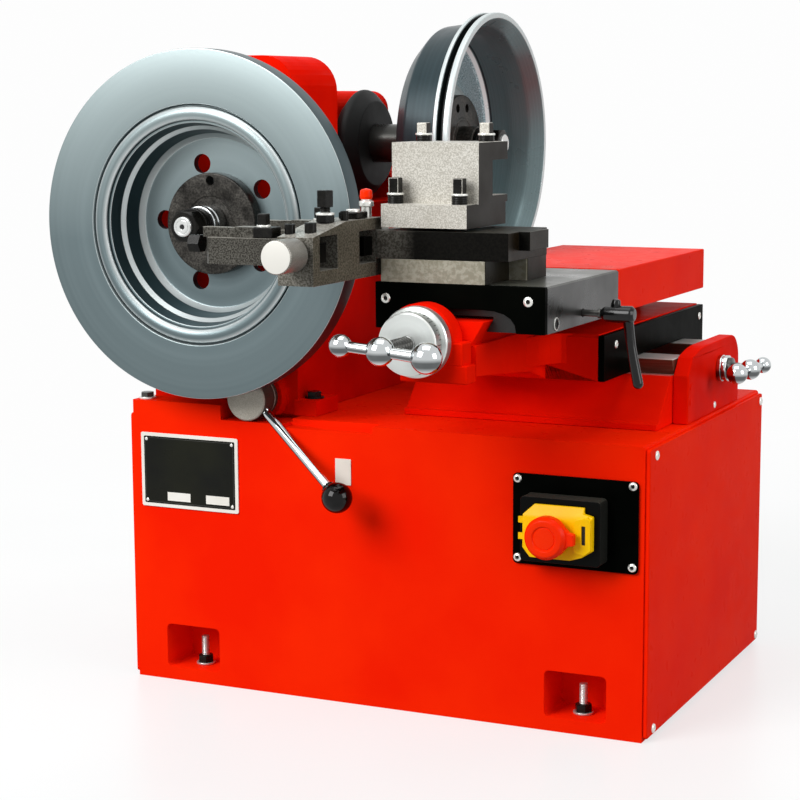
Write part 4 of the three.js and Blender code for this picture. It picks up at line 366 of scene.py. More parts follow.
def chrome_metal():
    """Bright plating with a painted dark reflection band below its middle, where it faces the bench."""
    s = Shader("chrome", Metallic=1.0)
    up = s.parts(s.normal)[2]
    # Painted reflection: a dark band on faces that look a little downward.
    band = s.times(s.beyond(up, -0.8, -0.5), s.span(up, -0.2, 0.05, 0.85, 0))
    s.colour(s.mix(band, s.tones(s.noise(22, 4), "#bec2c3", "#cdd1d2"), "#3a3d3e"))
    s.rough(s.noise(70, 3), 0.04, 0.08)
    s.bump((s.noise(120, 3), 0.2, 0.01))
    return s.material


RED = paint("red_paint", "#ff2704", "#f81d03", 260, 0.03, 0.3)
RED_COVER = paint("red_cover_paint", "#ff2704", "#f81d03", 260, 0.03, 0.3, shine=0.005)
RED_CAST = paint("red_cast_paint", "#f91a03", "#e21002", 420, 0.06, 0.36)
BED_METAL = bed_metal(316)
BLACK = plain("black_paint", "#020302", "#060705", 0.34, grain=320, depth=0.02, shine=0.005)
# Painted light by face direction on the two black steels below: sides and tops lighter than fronts, and on
# the cross table's top a painted reflection.
SATIN = steel("black_satin", ("#0c0d0b", "#11100d", "#4c4d45"), "#b4b4ae", 900, 0.3, 0.3,
              metallic=0.0, shine=0.4)
HOUSING = steel("switch_black", ("#020302", "#20211e", "#3c3d37"), "#8a8a86", 500, 0.4, 0.5, metallic=0.0)
# The disc: painted shade on its walls, painted highlights on its edges, and painted light on its upper part.
TURNED = turned("disc_metal", "#5a686b", "#647275", DISC, 0.36, wall="#34474c", edge="#e6eded",
                metallic=0.62, spread=0.06, painted_top_light=(0.44, 0.66, 0.75, "#b3c0c0"))
DRUM_METAL = drum_metal()
FLANGE = speckled("flange_metal", "#262421", "#57544f", "#0c0b09", 480, 0.36, metallic=0.3, depth=0.06)
DARK = speckled("dark_steel", "#0b0a08", "#191813", "#040303", 560, 0.28, metallic=0.05, depth=0.05)
# Painted light and shade by face direction on the steels below: sides darker than fronts, and most tops
# lighter.
BLOCK = steel("base_block_steel", ("#a8a596", "#1c180f", "#b9b6aa"), "#a39d8b", 260, 0.3, 0.45)
POST = steel("tool_post_steel", ("#d8d5cd", "#181106", "#e2e0d9"), "#a8a49a", 820, 0.34, 0.6)
YOKE = steel("yoke_steel", ("#86837b", "#7b7567", "#b5b2aa"), "#6c675c", 560, 0.34, 0.7,
             other=("#100f0c", "#241c11", "#3f3d36"), edge=(45, 90))
ARM = steel("cutter_arm_steel", ("#605e58", "#1a1812", "#b5b2aa"), "#5a554c", 780, 0.34, 0.85,
            other=("#030302", "#030302", "#030302"), edge=(16, 18))
HUB = steel("lever_hub_steel", ("#bdb8ad", "#5a524b", "#5a524b"), "#a9a297", 1200, 0.34, 0.4)
BRIGHT = plain("bright_steel", "#c4c6c4", "#d6d8d6", 0.26, metallic=0.7, grain=500, depth=0.01)
# The dial: painted shade on its walls and painted highlights on its edges.
SATIN_STEEL = turned("dial_steel", "#c9cdca", "#d8dcd9", CROSS_SCREW, 0.3, wall="#a5a9a6", edge="#eceeeb",
                     metallic=0.6, spread=0.03)
SHAFT = plain("dark_shaft", "#3a3a38", "#4a4a47", 0.3, metallic=0.7, grain=400, depth=0.03)
CHROME = chrome_metal()
IRON = speckled("cast_iron", "#474c4e", "#565b5d", "#2c3031", 420, 0.55, metallic=0.4, depth=0.1)
BRONZE = plain("bronze", "#a87b3a", "#c0924c", 0.3, metallic=1.0)
RUBBER = plain("rubber", "#101111", "#191a1a", 0.6, grain=420, depth=0.1, shine=0.25)
LEVER_BLACK = plain("lever_black", "#030303", "#080808", 0.16, grain=180, depth=0.02, shine=0.3)
BALL_BLACK = plain("ball_black", "#020202", "#050505", 0.06, grain=60, depth=0.01, spread=0.02, shine=0.22)
YELLOW = plain("yellow_plastic", "#ffd200", "#fec800", 0.28, grain=380, depth=0.03, shine=0.12)
BUTTON = plain("red_plastic", "#ff3001", "#f92801", 0.28, grain=380, depth=0.03, shine=0.08)
GREEN = plain("green_plastic", "#0f8a3e", "#0c7c37", 0.3, shine=0.3)
PLATE = plain("plate_black", "#0e0f0b", "#18190f", 0.3, grain=500, shine=0.12)
PLATE_LINE = plain("plate_line", "#ece8df", "#f4f1ea", 0.35, grain=500, depth=0.02, shine=0.3)
WHITE_PLATE = plain("white_plate", "#ece4da", "#ded5ca", 0.35, grain=400, shine=0.3)
ZINC = plain("zinc_screws", "#dcdcd6", "#ebebe6", 0.24, metallic=0.6, grain=300, depth=0.02)
KNURL = knurled_metal(14, 1.9)


# Meshes
def from_lists(points, faces, material, angle=SHARP):
    """A smooth mesh whose edges are sharp beyond the angle, in degrees."""
    mesh = bpy.data.meshes.new("piece")
    mesh.from_pydata([[c * MM for c in p] for p in points], [], faces)
    mesh.validate()
    mesh.materials.append(material)
    for face in mesh.polygons:
        face.use_smooth = True
    mesh.set_sharp_from_angle(angle=radians(angle))
    return add("piece", mesh)


def solid(points, faces, material, angle=SHARP):
    """A closed piece whose faces all look outward."""
    made = from_lists(points, faces, material, angle)
    shape = bmesh.new()
    shape.from_mesh(made.data)
    bmesh.ops.recalc_face_normals(shape, faces=shape.faces)
    shape.to_mesh(made.data)
    shape.free()
    return made


def merged(*parts):
    """One object from several, each keeping its material."""
    bpy.ops.object.select_all(action="DESELECT")
    for part in parts:
        part.select_set(True)
        bpy.context.view_layer.objects.active = part
        for modifier in list(part.modifiers):
            bpy.ops.object.modifier_apply(modifier=modifier.name)
    bpy.context.view_layer.objects.active = parts[0]
    bpy.ops.object.join()
    return parts[0]


def bore(body, cutters):
    """Cuts each cutter out of the body, and takes the cutters away."""
    for index, cutter in enumerate(cutters):
        hole = body.modifiers.new("hole_%d" % index, "BOOLEAN")
        hole.operation = "DIFFERENCE"
        hole.solver = "EXACT"
        hole.object = cutter
        bpy.context.view_layer.objects.active = body
        bpy.ops.object.modifier_apply(modifier=hole.name)
        bpy.data.objects.remove(cutter)
    body.data.set_sharp_from_angle(angle=radians(SHARP))


def soften(made, width, segments=3):
    """Rounds the sharp edges."""
    bevel = made.modifiers.new("edges", "BEVEL")
    bevel.width = width * MM
    bevel.segments = segments
    bevel.limit_method = "ANGLE"
    bevel.angle_limit = radians(SHARP)
    bevel.harden_normals = True


def axes_for(direction):
    """A direction and two more square to it, all of length 1."""
    ahead = Vector(direction).normalized()
    side = ahead.cross(Vector(UP))
    if side.length < 1e-3:
        side = Vector(RIGHT)
    side.normalize()
    return ahead, side, side.cross(ahead).normalized()


def spoke(side, up, k, sides):
    """The k-th of so many directions evenly round an axis."""
    a = 2 * pi * k / sides
    return cos(a) * side + sin(a) * up


def bands(rows, sides, first=0):
    """Faces between rings of points that lie one after another in a list."""
    faces = []
    for low in range(first, first + (rows - 1) * sides, sides):
        for k in range(sides):
            n = (k + 1) % sides
            faces.append([low + k, low + n, low + sides + n, low + sides + k])
    return faces


def caps(count, sides):
    """The two end faces of such a list."""
    return [list(range(sides)), list(range(count - sides, count))]


def filleted(corners, steps=4):
    """Rounds the corners of an open line of (radius, along[, fillet])."""
    out = []
    for i, corner in enumerate(corners):
        here = Vector(corner[:2])
        if len(corner) < 3 or i in (0, len(corners) - 1):
            out.append(here)
            continue
        before = Vector(corners[i - 1][:2]) - here
        after = Vector(corners[i + 1][:2]) - here
        angle = before.angle(after)
        if angle > NEARLY_STRAIGHT:
            out.append(here)
            continue
        cut = min(corner[2] / tan(angle / 2), before.length * 0.49, after.length * 0.49)
        a = here + before.normalized() * cut
        b = here + after.normalized() * cut
        for k in range(steps + 1):
            t = k / steps
            out.append(a * (1 - t) ** 2 + here * 2 * t * (1 - t) + b * t * t)
    return out


def turn(origin, direction, profile, material, sides=96, ring=False, angle=SHARP):
    """Turns (radius, along) points about a line; a radius of 0 is one point, and ring joins last to first."""
    ahead, side, up = axes_for(direction)
    origin = Vector(origin)
    points, rows = [], []
    for radius, along in profile:
        centre = origin + ahead * along
        if radius < 1e-6:
            rows.append([len(points)] * sides)
            points.append(centre)
            continue
        rows.append(list(range(len(points), len(points) + sides)))
        points += [centre + radius * spoke(side, up, k, sides) for k in range(sides)]
    faces = []
    for low, high in zip(rows, rows[1:] + (rows[:1] if ring else [])):
        for k in range(sides):
            n = (k + 1) % sides
            face = list(dict.fromkeys((low[k], low[n], high[n], high[k])))
            if len(face) > 2:
                faces.append(face)
    return solid(points, faces, material, angle)


def lathe(origin, direction, corners, material, sides=96, steps=4):
    """Turns corners, rounded by their fillets, about a line; one that starts off it closes to a ring."""
    return turn(origin, direction, filleted(corners, steps), material, sides, ring=corners[0][0] > 0)


def rod(origin, direction, radius, low, high, material, sides):
    return turn(origin, direction, [(0, low), (radius, low), (radius, high), (0, high)], material, sides)


def washer(origin, radius, low, high, fillet, material, sides):
    return lathe(origin, UP, [(0, low), (radius, low), (radius, high, fillet), (0, high)], material, sides)


def ball_profile(radius, centre, start, end, steps=20):
    """Part of a half circle between two angles, in degrees, for turning a ball."""
    angles = [radians(start + (end - start) * k / steps) for k in range(steps + 1)]
    return [(radius * sin(a), centre - radius * cos(a)) for a in angles]


def prism(outline, axis, low, high, material, bevel, segments=3):
    """A flat outline pushed along x, y or z, with rounded edges."""
    count, at = len(outline), "xyz".index(axis)
    points = [(*p[:at], height, *p[at:]) for height in (low, high) for p in outline]
    made = solid(points, caps(2 * count, count) + bands(2, count), material)
    if bevel:
        soften(made, bevel, segments)
    return made


def brick(low, high, material, bevel):
    (x0, y0, z0), (x1, y1, z1) = low, high
    return prism([(x0, y0), (x1, y0), (x1, y1), (x0, y1)], "z", z0, z1, material, bevel)


def square(x, y, half):
    return [(x - half, y - half), (x + half, y - half), (x + half, y + half), (x - half, y + half)]


def round_corners(left, right, bottom, top, radius):
    """A rectangle's outline with rounded corners."""
    out = []
    for cx, cy, start in ((right - radius, bottom + radius, -90), (right - radius, top - radius, 0),
                          (left + radius, top - radius, 90), (left + radius, bottom + radius, 180)):
        for k in range(7):
            a = radians(start + 15 * k)
            out.append((cx + radius * cos(a), cy + radius * sin(a)))
    return out


def hexagon(origin, direction, across, height, material):
    """A hexagonal head or nut whose outer corners are turned off at 30 degrees."""
    ahead, side, up = axes_for(direction)
    origin = Vector(origin)
    sides, flat = 96, across / 2
    inner = flat * 0.95
    reach = [flat / cos((2 * pi * k / sides) % (pi / 3) - pi / 6) for k in range(sides)]
    shoulder = [(r, height - (r - inner) * tan(radians(30))) for r in reach]
    rows = [[(r, 0.0) for r in reach], shoulder, [(inner, height)] * sides]
    points = [origin + ahead * h + r * spoke(side, up, k, sides)
              for row in rows for k, (r, h) in enumerate(row)]
    return solid(points, bands(len(rows), sides) + caps(len(points), sides), material, 24)


def thread(origin, direction, radius, depth, pitch, start, end, material, sides=32):
    """A screw thread: the radius rises and falls once a pitch as the helix climbs."""
    ahead, side, up = axes_for(direction)
    origin = Vector(origin)
    count = max(2, int((end - start) / (pitch / 6)))
    step = (end - start) / count
    points = [origin + ahead * start]
    for j in range(count + 1):
        along = start + step * j
        for k in range(sides):
            phase = (along / pitch - k / sides) % 1
            rise = min(1, max(0, 2 * abs(2 * phase - 1) - 0.5))
            r = radius - depth * (1 - rise)
            points.append(origin + ahead * along + r * spoke(side, up, k, sides))
    points.append(origin + ahead * end)
    faces = bands(count + 1, sides, 1)
    last = 1 + count * sides
    for k in range(sides):
        n = (k + 1) % sides
        faces += [[0, 1 + n, 1 + k], [len(points) - 1, last + k, last + n]]
    return solid(points, faces, material, 60)


def tube(path, radii, material, sides):
    """A swept round bar along a smooth path, flat at both ends."""
    points = []
    side = axes_for((path[1] - path[0]).normalized())[1]
    for i, here in enumerate(path):
        ahead = (path[min(i + 1, len(path) - 1)] - path[max(i - 1, 0)]).normalized()
        side = (side - ahead * side.dot(ahead)).normalized()
        up = side.cross(ahead)
        points += [here + radii[i] * spoke(side, up, k, sides) for k in range(sides)]
    return solid(points, bands(len(path), sides) + caps(len(points), sides), material, 50)


def bezier(a, b, c, d, steps):
    a, b, c, d = (Vector(p) for p in (a, b, c, d))
    out = []
    for k in range(steps + 1):
        t = k / steps
        out.append(a * (1 - t) ** 3 + b * 3 * t * (1 - t) ** 2 + c * 3 * t * t * (1 - t) + d * t ** 3)
    return out


def screw(at, direction, radius, material=ZINC, rise=1.6, socket=True):
    """A small round screw head, with a socket sunk in its middle whose floor is painted dark as shade, or
    plain.
    """
    angles = [radians(a) for a in (40, 55, 68, 78, 85)]
    dome = [(radius * sin(a), rise * cos(a) ** 0.7) for a in angles]
    dome += [(radius, 0), (radius, -0.8), (0, -0.8)]
    if not socket:
        return turn(at, direction, [(0, rise)] + dome, material, 32)
    hollow = [(0, rise * 0.4), (radius * 0.4, rise * 0.4), (radius * 0.52, rise * 0.94)]
    head = turn(at, direction, hollow + dome, material, 32)
    # Painted shade: a dark cup fills the socket's floor.
    cup = turn(at, direction, [
        (0, rise * 0.5), (radius * 0.4, rise * 0.44), (radius * 0.42, rise * 0.3), (0, rise * 0.3)], DARK, 24)
    return merged(head, cup)


def put(name, piece, body, slot, *replaced):
    """Names a piece, and says which body it rides on and the CAD nodes that it stands for; its finish, slot,
    is not used.
    """
    piece.name = name
    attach(piece, body)
    if replaced:
        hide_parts(*replaced)


def dress(name, material, bevel):
    """A CAD node that stays: welded, with its flat faces joined, soft edges and its finish."""
    made = nodes[name]
    made.data.materials.clear()
    made.data.materials.append(material)
    weld = made.modifiers.new("weld", "WELD")
    weld.merge_threshold = WELD
    flat = made.modifiers.new("flat", "DECIMATE")
    flat.decimate_type = "DISSOLVE"
    flat.angle_limit = radians(0.6)
    if bevel:
        soften(made, bevel, 2)


def carried_over_nodes():
    for material, bevel, *names in (
        (RED, 1.5, "base_cabinet"),
        (RED, 0.9, "side_cover_right", "side_cover_left"),
        (RED_COVER, 1.2, "table_cover"),
        (RED_CAST, 1.6, "headstock_casting"),
        (RED_CAST, 1.4, "bed_end_bracket"),
        (RED_CAST, 1.2, "saddle"),
        (BED_METAL, 1.0, "bed_casting"),
        (BLACK, 0.4, "switch_plate"),
        (BLACK, 0.5, "saddle_end_plate"),
        (BLACK, 0.6, "table_end_plate"),
        (HOUSING, 1.4, "switch_housing"),
        (SATIN, 0.8, "cross_table"),
        (BLOCK, 0.7, "tool_base_block"),
        (YOKE, 0.9, "cutter_yoke"),
        (ARM, 0.6, "front_cutter_arm", "rear_cutter_arm"),
        (POST, 0.8, "drum_tool_post"),
        (IRON, 1.2, "feed_gearbox"),
        (IRON, 1.0, "motor_body"),
        (BRIGHT, 0.4, "motor_rotor", "feed_input_pulley"),
        (BRIGHT, 0.3, "disc_front_bearing", "disc_rear_bearing", "drum_right_bearing", "drum_left_bearing"),
        (BRIGHT, 0.3, "worm_shaft"),
        (BRONZE, 0.3, "disc_worm_wheel", "drum_worm_wheel"),
        (RUBBER, 0, "feed_belt", "drive_belt"),
    ):
        for name in names:
            dress(name, material, bevel)


# Disc and drum, with what clamps them
def nut_piece(face, inward):
    """A hexagon, then a round grooved collar; the face is the outer end."""
    ahead = Vector(inward)
    joint = Vector(face) + ahead * 15
    hexed = hexagon(joint, -ahead, 28, 15, DARK)
    collar = lathe(joint, ahead, [
        (12.8, -0.3), (16.5, -0.3, 0.8), (16.5, 3.6, 0.5), (15, 4, 0.3), (15, 7.6, 0.3), (16.5, 8, 0.5),
        (16.5, 12, 0.8), (12.8, 12)], DARK, 72)
    return merged(hexed, collar)


def disc_pieces():
    rim, floor, web = -196, -214, -174
    bead = [(105 + 7 * cos(a), floor - 6 * sin(a)) for a in (pi * k / 12 for k in range(13))]
    profile = filleted([
        (30, web), (30, -166, 1), (84, -166, 2), (104, rim, 3), (165, rim, 1), (165, -218, 1),
        (114, -218, 1), (112.4, floor, 0.6),
    ]) + [Vector(p) for p in bead] + filleted([
        (98, floor), (96, floor, 1.5), (93.5, -200, 2.5), (89.5, -196.5, 2), (86, -180, 2.5), (81.5, web, 2),
        (76, web), (30, web),
    ])
    body = turn(DISC, BACK, profile, TURNED, 192)
    lug_circle, lug_radius = 59, 9.2
    holes = []
    for k in range(5):
        a = radians(106 - 72 * k)
        at = (DISC[0] + lug_circle * cos(a), 0, DISC[2] + lug_circle * sin(a))
        holes.append(rod(at, BACK, lug_radius, -180, -160, TURNED, 48))
    bore(body, holes)
    put("disc_turned", body, "disc", "disc_steel", "brake_disc")

    flange = lathe(DISC, BACK, [
        (12.8, -187.8), (24, -187.8, 0.5), (24.6, -187, 0.4), (26, -187, 0.4), (26.6, -187.8, 0.5),
        (48.5, -187.8, 1.6), (48.5, -174.3, 0.6), (12.8, -174.3)], FLANGE, 128)
    bore(flange, [rod((DISC[0], 0, DISC[2] + 41), BACK, 4.5, -192, -170, FLANGE, 40)])
    put("flange_turned", flange, "disc", "dark_steel", "disc_clamp_flange")

    back = lathe(DISC, BACK, [
        (12.8, -170.7), (29.7, -170.7, 0.5), (29.7, -165.7), (45, -165.7, 1), (45, -153.7, 2),
        (12.8, -153.7)], FLANGE)
    put("disc_back_turned", back, "disc", "dark_steel", "disc_back_flange")

    spacer = lathe(DISC, BACK, [
        (12.8, -210.1), (18, -210.1, 1.2), (18, -204.4, 0.5), (17, -203.6, 0.3), (17, -202.6, 0.3),
        (18, -201.8, 0.5), (18, -188.1, 1.2), (12.8, -188.1)], CHROME)
    put("disc_spacer_turned", spacer, "disc", "chrome", "disc_spacer")

    nut = nut_piece((DISC[0], -237.4, DISC[2]), BACK)
    put("disc_nut_turned", nut, "disc", "dark_steel", "disc_nut")

    shaft = lathe(DISC, BACK, [
        (0, -239.5), (2.4, -239.5), (2.6, -240.4, 0.2), (6, -240.4, 0.2), (6.4, -240), (6.8, -240.4, 0.2),
        (8.6, -240.4, 0.5), (9.4, -239.4, 0.4), (9.4, -236.9), (12.5, -236.8, 0.4), (12.5, -153.4, 0.3),
        (20, -153.4, 0.8), (20, -80, 0.8), (15, -80, 0.3), (15, 157.4, 0.8), (0, 157.4)], BRIGHT)
    centre = rod(DISC, BACK, 2.3, -239.62, -239.3, RUBBER, 32)
    put("disc_shaft_turned", merged(shaft, centre), "disc", "tool_steel", "disc_spindle")


def drum_pieces():
    rim, back = 20, -50
    outer = filleted([
        (127.6, rim), (132.5, rim, 1.5), (132.5, 14, 1.2), (123.5, 13, 1.5), (123.5, 8, 1.5), (132.5, 7, 1.2),
        (132.5, 3, 1.5), (126, 1.5, 1), (123, -1, 1.5), (119.5, -34, 6), (103, back, 9), (60, back),
        (30, back)], 6)
    inner = filleted([
        (30, back), (30, -35), (58, -35, 1), (63, -36, 1.5), (64, -42, 2), (106, -42, 3), (110, -39, 2),
        (114, -36, 2), (114, -14, 30), (118.6, 6, 20), (126.4, 19, 0.8), (127.2, rim, 0.4), (127.6, rim)], 5)
    body = turn(DRUM, RIGHT, outer + inner[1:-1], DRUM_METAL, 192, ring=True)
    put("drum_turned", body, "drum", "drum_iron", "brake_drum")

    flange = lathe(DRUM, RIGHT, [
        (12.8, -34.7), (50, -34.7, 0.6), (50, -21.7, 1.6), (27, -21.7, 0.5), (26, -22.4, 0.4),
        (24, -22.4, 0.4), (23, -21.7, 0.5), (18, -21.7, 0.3), (18, -3.7, 1.2), (12.8, -3.7)], FLANGE, 128)
    holes = []
    for a in (radians(72), radians(108)):
        at = (0, DRUM[1] + 38 * cos(a), DRUM[2] + 38 * sin(a))
        holes.append(rod(at, RIGHT, 4.5, -38, -18, FLANGE, 40))
    bore(flange, holes)
    put("drum_flange_turned", flange, "drum", "dark_steel", "drum_clamp_flange")

    nut = nut_piece((23.6, DRUM[1], DRUM[2]), LEFT)
    put("drum_nut_turned", nut, "drum", "dark_steel", "drum_nut")

    shaft = lathe(DRUM, RIGHT, [
        (0, -256.4), (15, -256.4, 0.8), (15, -221.5, 0.3), (20, -221.5, 0.8), (20, -61.3, 0.3),
        (45, -61.3, 1.5), (45, -50.3, 0.6), (29.7, -50.3, 0.3), (29.7, -46, 0.6), (12.5, -46, 0.3),
        (12.5, 20, 0.5), (0, 20)], SHAFT)
    tip = lathe(DRUM, RIGHT, [
        (0, 20.1), (12.4, 20.1), (12.4, 22.8, 0.4), (9.6, 22.9), (9.6, 25.6, 0.4), (8.8, 26.4, 0.5),
        (2.6, 26.4), (0, 24)], BRIGHT, 72)
    put("drum_shaft_turned", merged(shaft, tip), "drum", "tool_steel", "drum_spindle")

    silencer = lathe(DRUM, RIGHT, [
        (20.3, -148), (44, -148, 2), (56, -136.5, 12), (56, -131.5, 12), (44, -120, 2), (20.3, -120)],
        RUBBER, steps=8)
    put("silencer_turned", silencer, "drum", "rubber", "drum_silencer_ring")


# Handles and levers
def three_ball(small, large, hub, bar, neck_to, neck):
    """A three-ball handle turned in one line, each ball a centre and radius, with its neck to the screw."""
    start, end, middle = (Vector(ball[0]) for ball in (small, large, hub))
    first, last, near = (degrees(asin(width / ball[1]))
                         for ball, width in ((small, bar), (large, bar * 1.1), (hub, bar)))
    profile = ball_profile(small[1], 0, 0, 180 - first)
    profile += ball_profile(hub[1], (middle - start).length, near, 180 - near)
    profile += ball_profile(large[1], (end - start).length, last, 180)
    line = turn(start, end - start, profile, CHROME, 64, angle=40)
    toward = Vector(neck_to) - middle
    shank = lathe(middle, toward, [
        (0, 0), (neck * 0.9, 0), (neck, hub[1] * 0.8, 1), (neck, toward.length, 0.5), (0, toward.length)],
        CHROME, 48)
    return merged(line, shank)


def dial_mark(turned_by, length):
    """One short line on the dial's rim, at an angle."""
    out = Vector((cos(turned_by), 0, sin(turned_by)))
    side = Vector((-sin(turned_by), 0, cos(turned_by)))
    front, back, half = -336 - length, -336, 0.28
    points = [Vector(CROSS_SCREW) + out * reach + side * across + Vector((0, along, 0))
              for reach in (26.6, 27.1)
              for along, across in ((back, -half), (front, -half), (front, half), (back, half))]
    return solid(points, caps(8, 4) + bands(2, 4), PLATE)


def cross_screw_pieces():
    x, _, z = CROSS_SCREW
    lean = sin(radians(5))
    handle = three_ball(((x - 36, -397, z + 36 * lean), 9.5),
                        ((x + 41, -397, z - 41 * lean), 13), ((x, -397, z), 12), 4.6, (x, -384.5, z), 7)
    put("cross_handle_turned", handle, "cross_screw", "chrome", "cross_handle")
    dial = lathe(CROSS_SCREW, BACK, [
        (7.3, -346.6), (25.4, -346.6, 0.4), (26.8, -345.4, 0.8), (27, -335.4, 0.4), (25.6, -334.8, 0.3),
        (25.6, -333.2, 0.3), (29.6, -332.4, 0.6), (30.5, -331, 0.6), (30.5, -323.4, 0.6), (29.8, -322.6),
        (7.3, -322.6)], SATIN_STEEL, 128)
    marks = [dial_mark(2 * pi * k / 40, 3.6 if k % 5 else 6.5) for k in range(40)]
    put("cross_dial_turned", merged(dial, *marks), "cross_screw", "chrome", "cross_dial")
    coil = thread(CROSS_SCREW, BACK, 7, 1.9, 5, -384.2, -346.9, SHAFT, 48)
    core = lathe(CROSS_SCREW, BACK, [
        (0, -347), (7, -347, 0.4), (7, -300, 0.4), (0, -300)], BRIGHT, 48)
    screw_thread = thread(CROSS_SCREW, BACK, 7, 1.3, 4, -301, 90, BRIGHT)
    put("cross_screw_turned", merged(coil, core, screw_thread), "cross_screw", "tool_steel", "cross_screw")


def lead_screw_pieces():
    _, y, z = LEAD_SCREW
    crank = three_ball(((298, y + 36, z), 8), ((292, y - 36, z), 10), ((295, y, z), 10), 4,
                       (284.5, y, z), 6)
    put("saddle_crank_turned", crank, "lead_screw", "chrome", "saddle_crank")
    screw_thread = thread(LEAD_SCREW, RIGHT, 8, 1.3, 4, -118, 262, BRIGHT)
    collar = lathe(LEAD_SCREW, RIGHT, [
        (0, 262), (7.9, 262), (7.9, 264.3), (13, 264.3, 0.8), (13, 268.4, 0.6), (11.8, 268.8), (11.8, 270),
        (13, 270.4, 0.6), (12.6, 274, 0.6), (0, 274)], CHROME, 64)
    nut = lathe(LEAD_SCREW, RIGHT, [
        (0, 273.9), (10.6, 273.9, 0.4), (10.6, 277.6, 0.8), (6, 278.3, 0.4), (6, 284.2, 0.4), (0, 284.2)],
        SHAFT, 48)
    put("lead_screw_turned", merged(screw_thread, collar, nut), "lead_screw", "tool_steel", "lead_screw")


def feed_lever_pieces():
    hub = lathe(FEED_LEVER, BACK, [
        (0, -188), (19.5, -188, 0.6), (21, -186.6, 1), (21, -172, 0.5), (19, -171.6, 0.3), (19, -170.8, 0.3),
        (20, -170.4, 0.5), (20, -166, 0.4), (18.8, -165.6), (18.8, -164.8), (20, -164.4, 0.5),
        (20, -159.6, 0.5), (8, -159.3), (8, 26.7, 0.5), (0, 26.7)], HUB)
    start = Vector((FEED_LEVER[0], -172, FEED_LEVER[2]))
    knob = Vector((-19, -228, 209))
    away = knob - start
    end = away.length - 12
    bar = lathe(start, away, [
        (0, 10), (4.9, 10), (4.9, 24, 1), (4.6, 26, 1), (4, end, 0.5), (0, end)], CHROME, 40)
    put("feed_lever_turned", merged(hub, bar), "feed_lever", "tool_steel", "feed_lever")
    ball = turn(knob, away, ball_profile(14.5, 0, 24, 180), BALL_BLACK)
    neck = lathe(knob, away, [
        (4.3, -16), (6.4, -16, 0.8), (6.6, -12.5, 0.5), (4.3, -12.5)], BALL_BLACK, 48)
    put("feed_ball_turned", merged(ball, neck), "feed_lever", "black_plastic", "feed_lever_knob")


def clamp_lever_piece():
    _, y, z = CLAMP_LEVER
    shaft = lathe(CLAMP_LEVER, RIGHT, [
        (0, 197.3), (3, 197.3), (3, 223), (4.4, 223.4, 0.4), (4.4, 226, 0.4), (3, 226.4), (3, 234), (0, 234)],
        SHAFT, 40)
    hub = lathe(CLAMP_LEVER, RIGHT, [
        (0, 227), (4.8, 227, 1), (6.6, 230, 1.5), (7.4, 240, 3), (7.6, 254, 2.5), (5, 256.5, 1.2),
        (0, 256.5)], LEVER_BLACK, 56, steps=5)
    path = bezier((250, y, z + 2), (251.5, y, z - 18), (255.5, y, z - 38), (260.2, y, z - 60), 20)
    radii = [4.9 - 0.09 * k for k in range(10)] + [4.0 + 0.07 * k for k in range(11)]
    grip = tube(path, radii, LEVER_BLACK, 36)
    tip = turn(path[-1], path[-1] - path[-2], ball_profile(4.7, 0, 90, 180, 8), LEVER_BLACK, 36)
    tab = lathe((238, y, z), (0.15, 0, 1), [
        (0, 0), (4.4, 0), (4.2, 9, 2), (3.4, 13, 2), (0, 13.4)], LEVER_BLACK, 40)
    lever = merged(shaft, hub, grip, tip, tab)
    put("clamp_lever_turned", lever, "clamp_lever", "black_plastic", "clamp_lever")


def adjuster_pieces():
    x, _, z = ADJUSTERS
    for name, face, way in (("front_adjuster", -405, 1), ("rear_adjuster", -276, -1)):
        at = (x, face, z)
        grip = lathe(at, (0, -way, 0), [
            (0, 4), (13, 4, 0.4), (14, 5, 0.6), (14, 33.2, 0.8), (13.2, 34.3, 0.4), (0, 34.3)], KNURL)
        neck = rod(at, (0, -way, 0), 11.6, 0.3, 4.2, DARK, 64)
        stem = thread(at, (0, way, 0), 5, 0.7, 2, -2, 29, BRIGHT, 24)
        put(name + "_turned", merged(grip, neck, stem), name, "tool_steel", name)


# Switch, bracket and foot bolts
def foot_bolts():
    for side, x in (("left", -201), ("right", 201)):
        for end, y in (("front", -164), ("rear", 164)):
            name = "foot_bolt_%s_%s" % (end, side)
            shank = thread((x, y, 0), UP, 4, 0.6, 1.5, 2, 41.6, BRIGHT)
            ring = lathe((x, y, 0), UP, [
                (4.1, 13.3), (9.5, 13.3, 0.4), (9.5, 15.3, 0.6), (4.1, 15.3)], BRIGHT, 56)
            nut = hexagon((x, y, 15.3), UP, 14, 7, DARK)
            put(name + "_turned", merged(shank, ring, nut), "frame", "chrome", name)


def switch_buttons():
    x, _, z = STOP_BUTTON
    cap = lathe(STOP_BUTTON, BACK, [
        (0, -235.4), (9.4, -235.4, 0.6), (10.2, -234.6, 0.4), (11.4, -236.4, 0.8), (16.4, -236.2, 2.5),
        (19.4, -232.4, 1.5), (19.4, -224.6, 0.8), (18.8, -224), (8, -224), (8, -211.7), (0, -211.7)],
        BUTTON, steps=6)
    half = [(x + 12, 13), (x + 18, 9), (x + 21, 6), (x + 26, 5.2)]
    outline = [(a, z - b) for a, b in half] + [(a, z + b) for a, b in reversed(half)]
    tab = prism(outline, "y", -231.2, -224.4, BUTTON, 0.9)
    put("stop_button_turned", merged(cap, tab), "stop_button", "red_plastic", "stop_button")
    start = lathe(START_BUTTON, BACK, [
        (0, -214.1), (4.4, -214.1, 0.8), (5, -213.2, 0.6), (5, -207.1), (0, -207.1)], GREEN, 48)
    put("start_cap", start, "start_button", "green_plastic", "start_button")


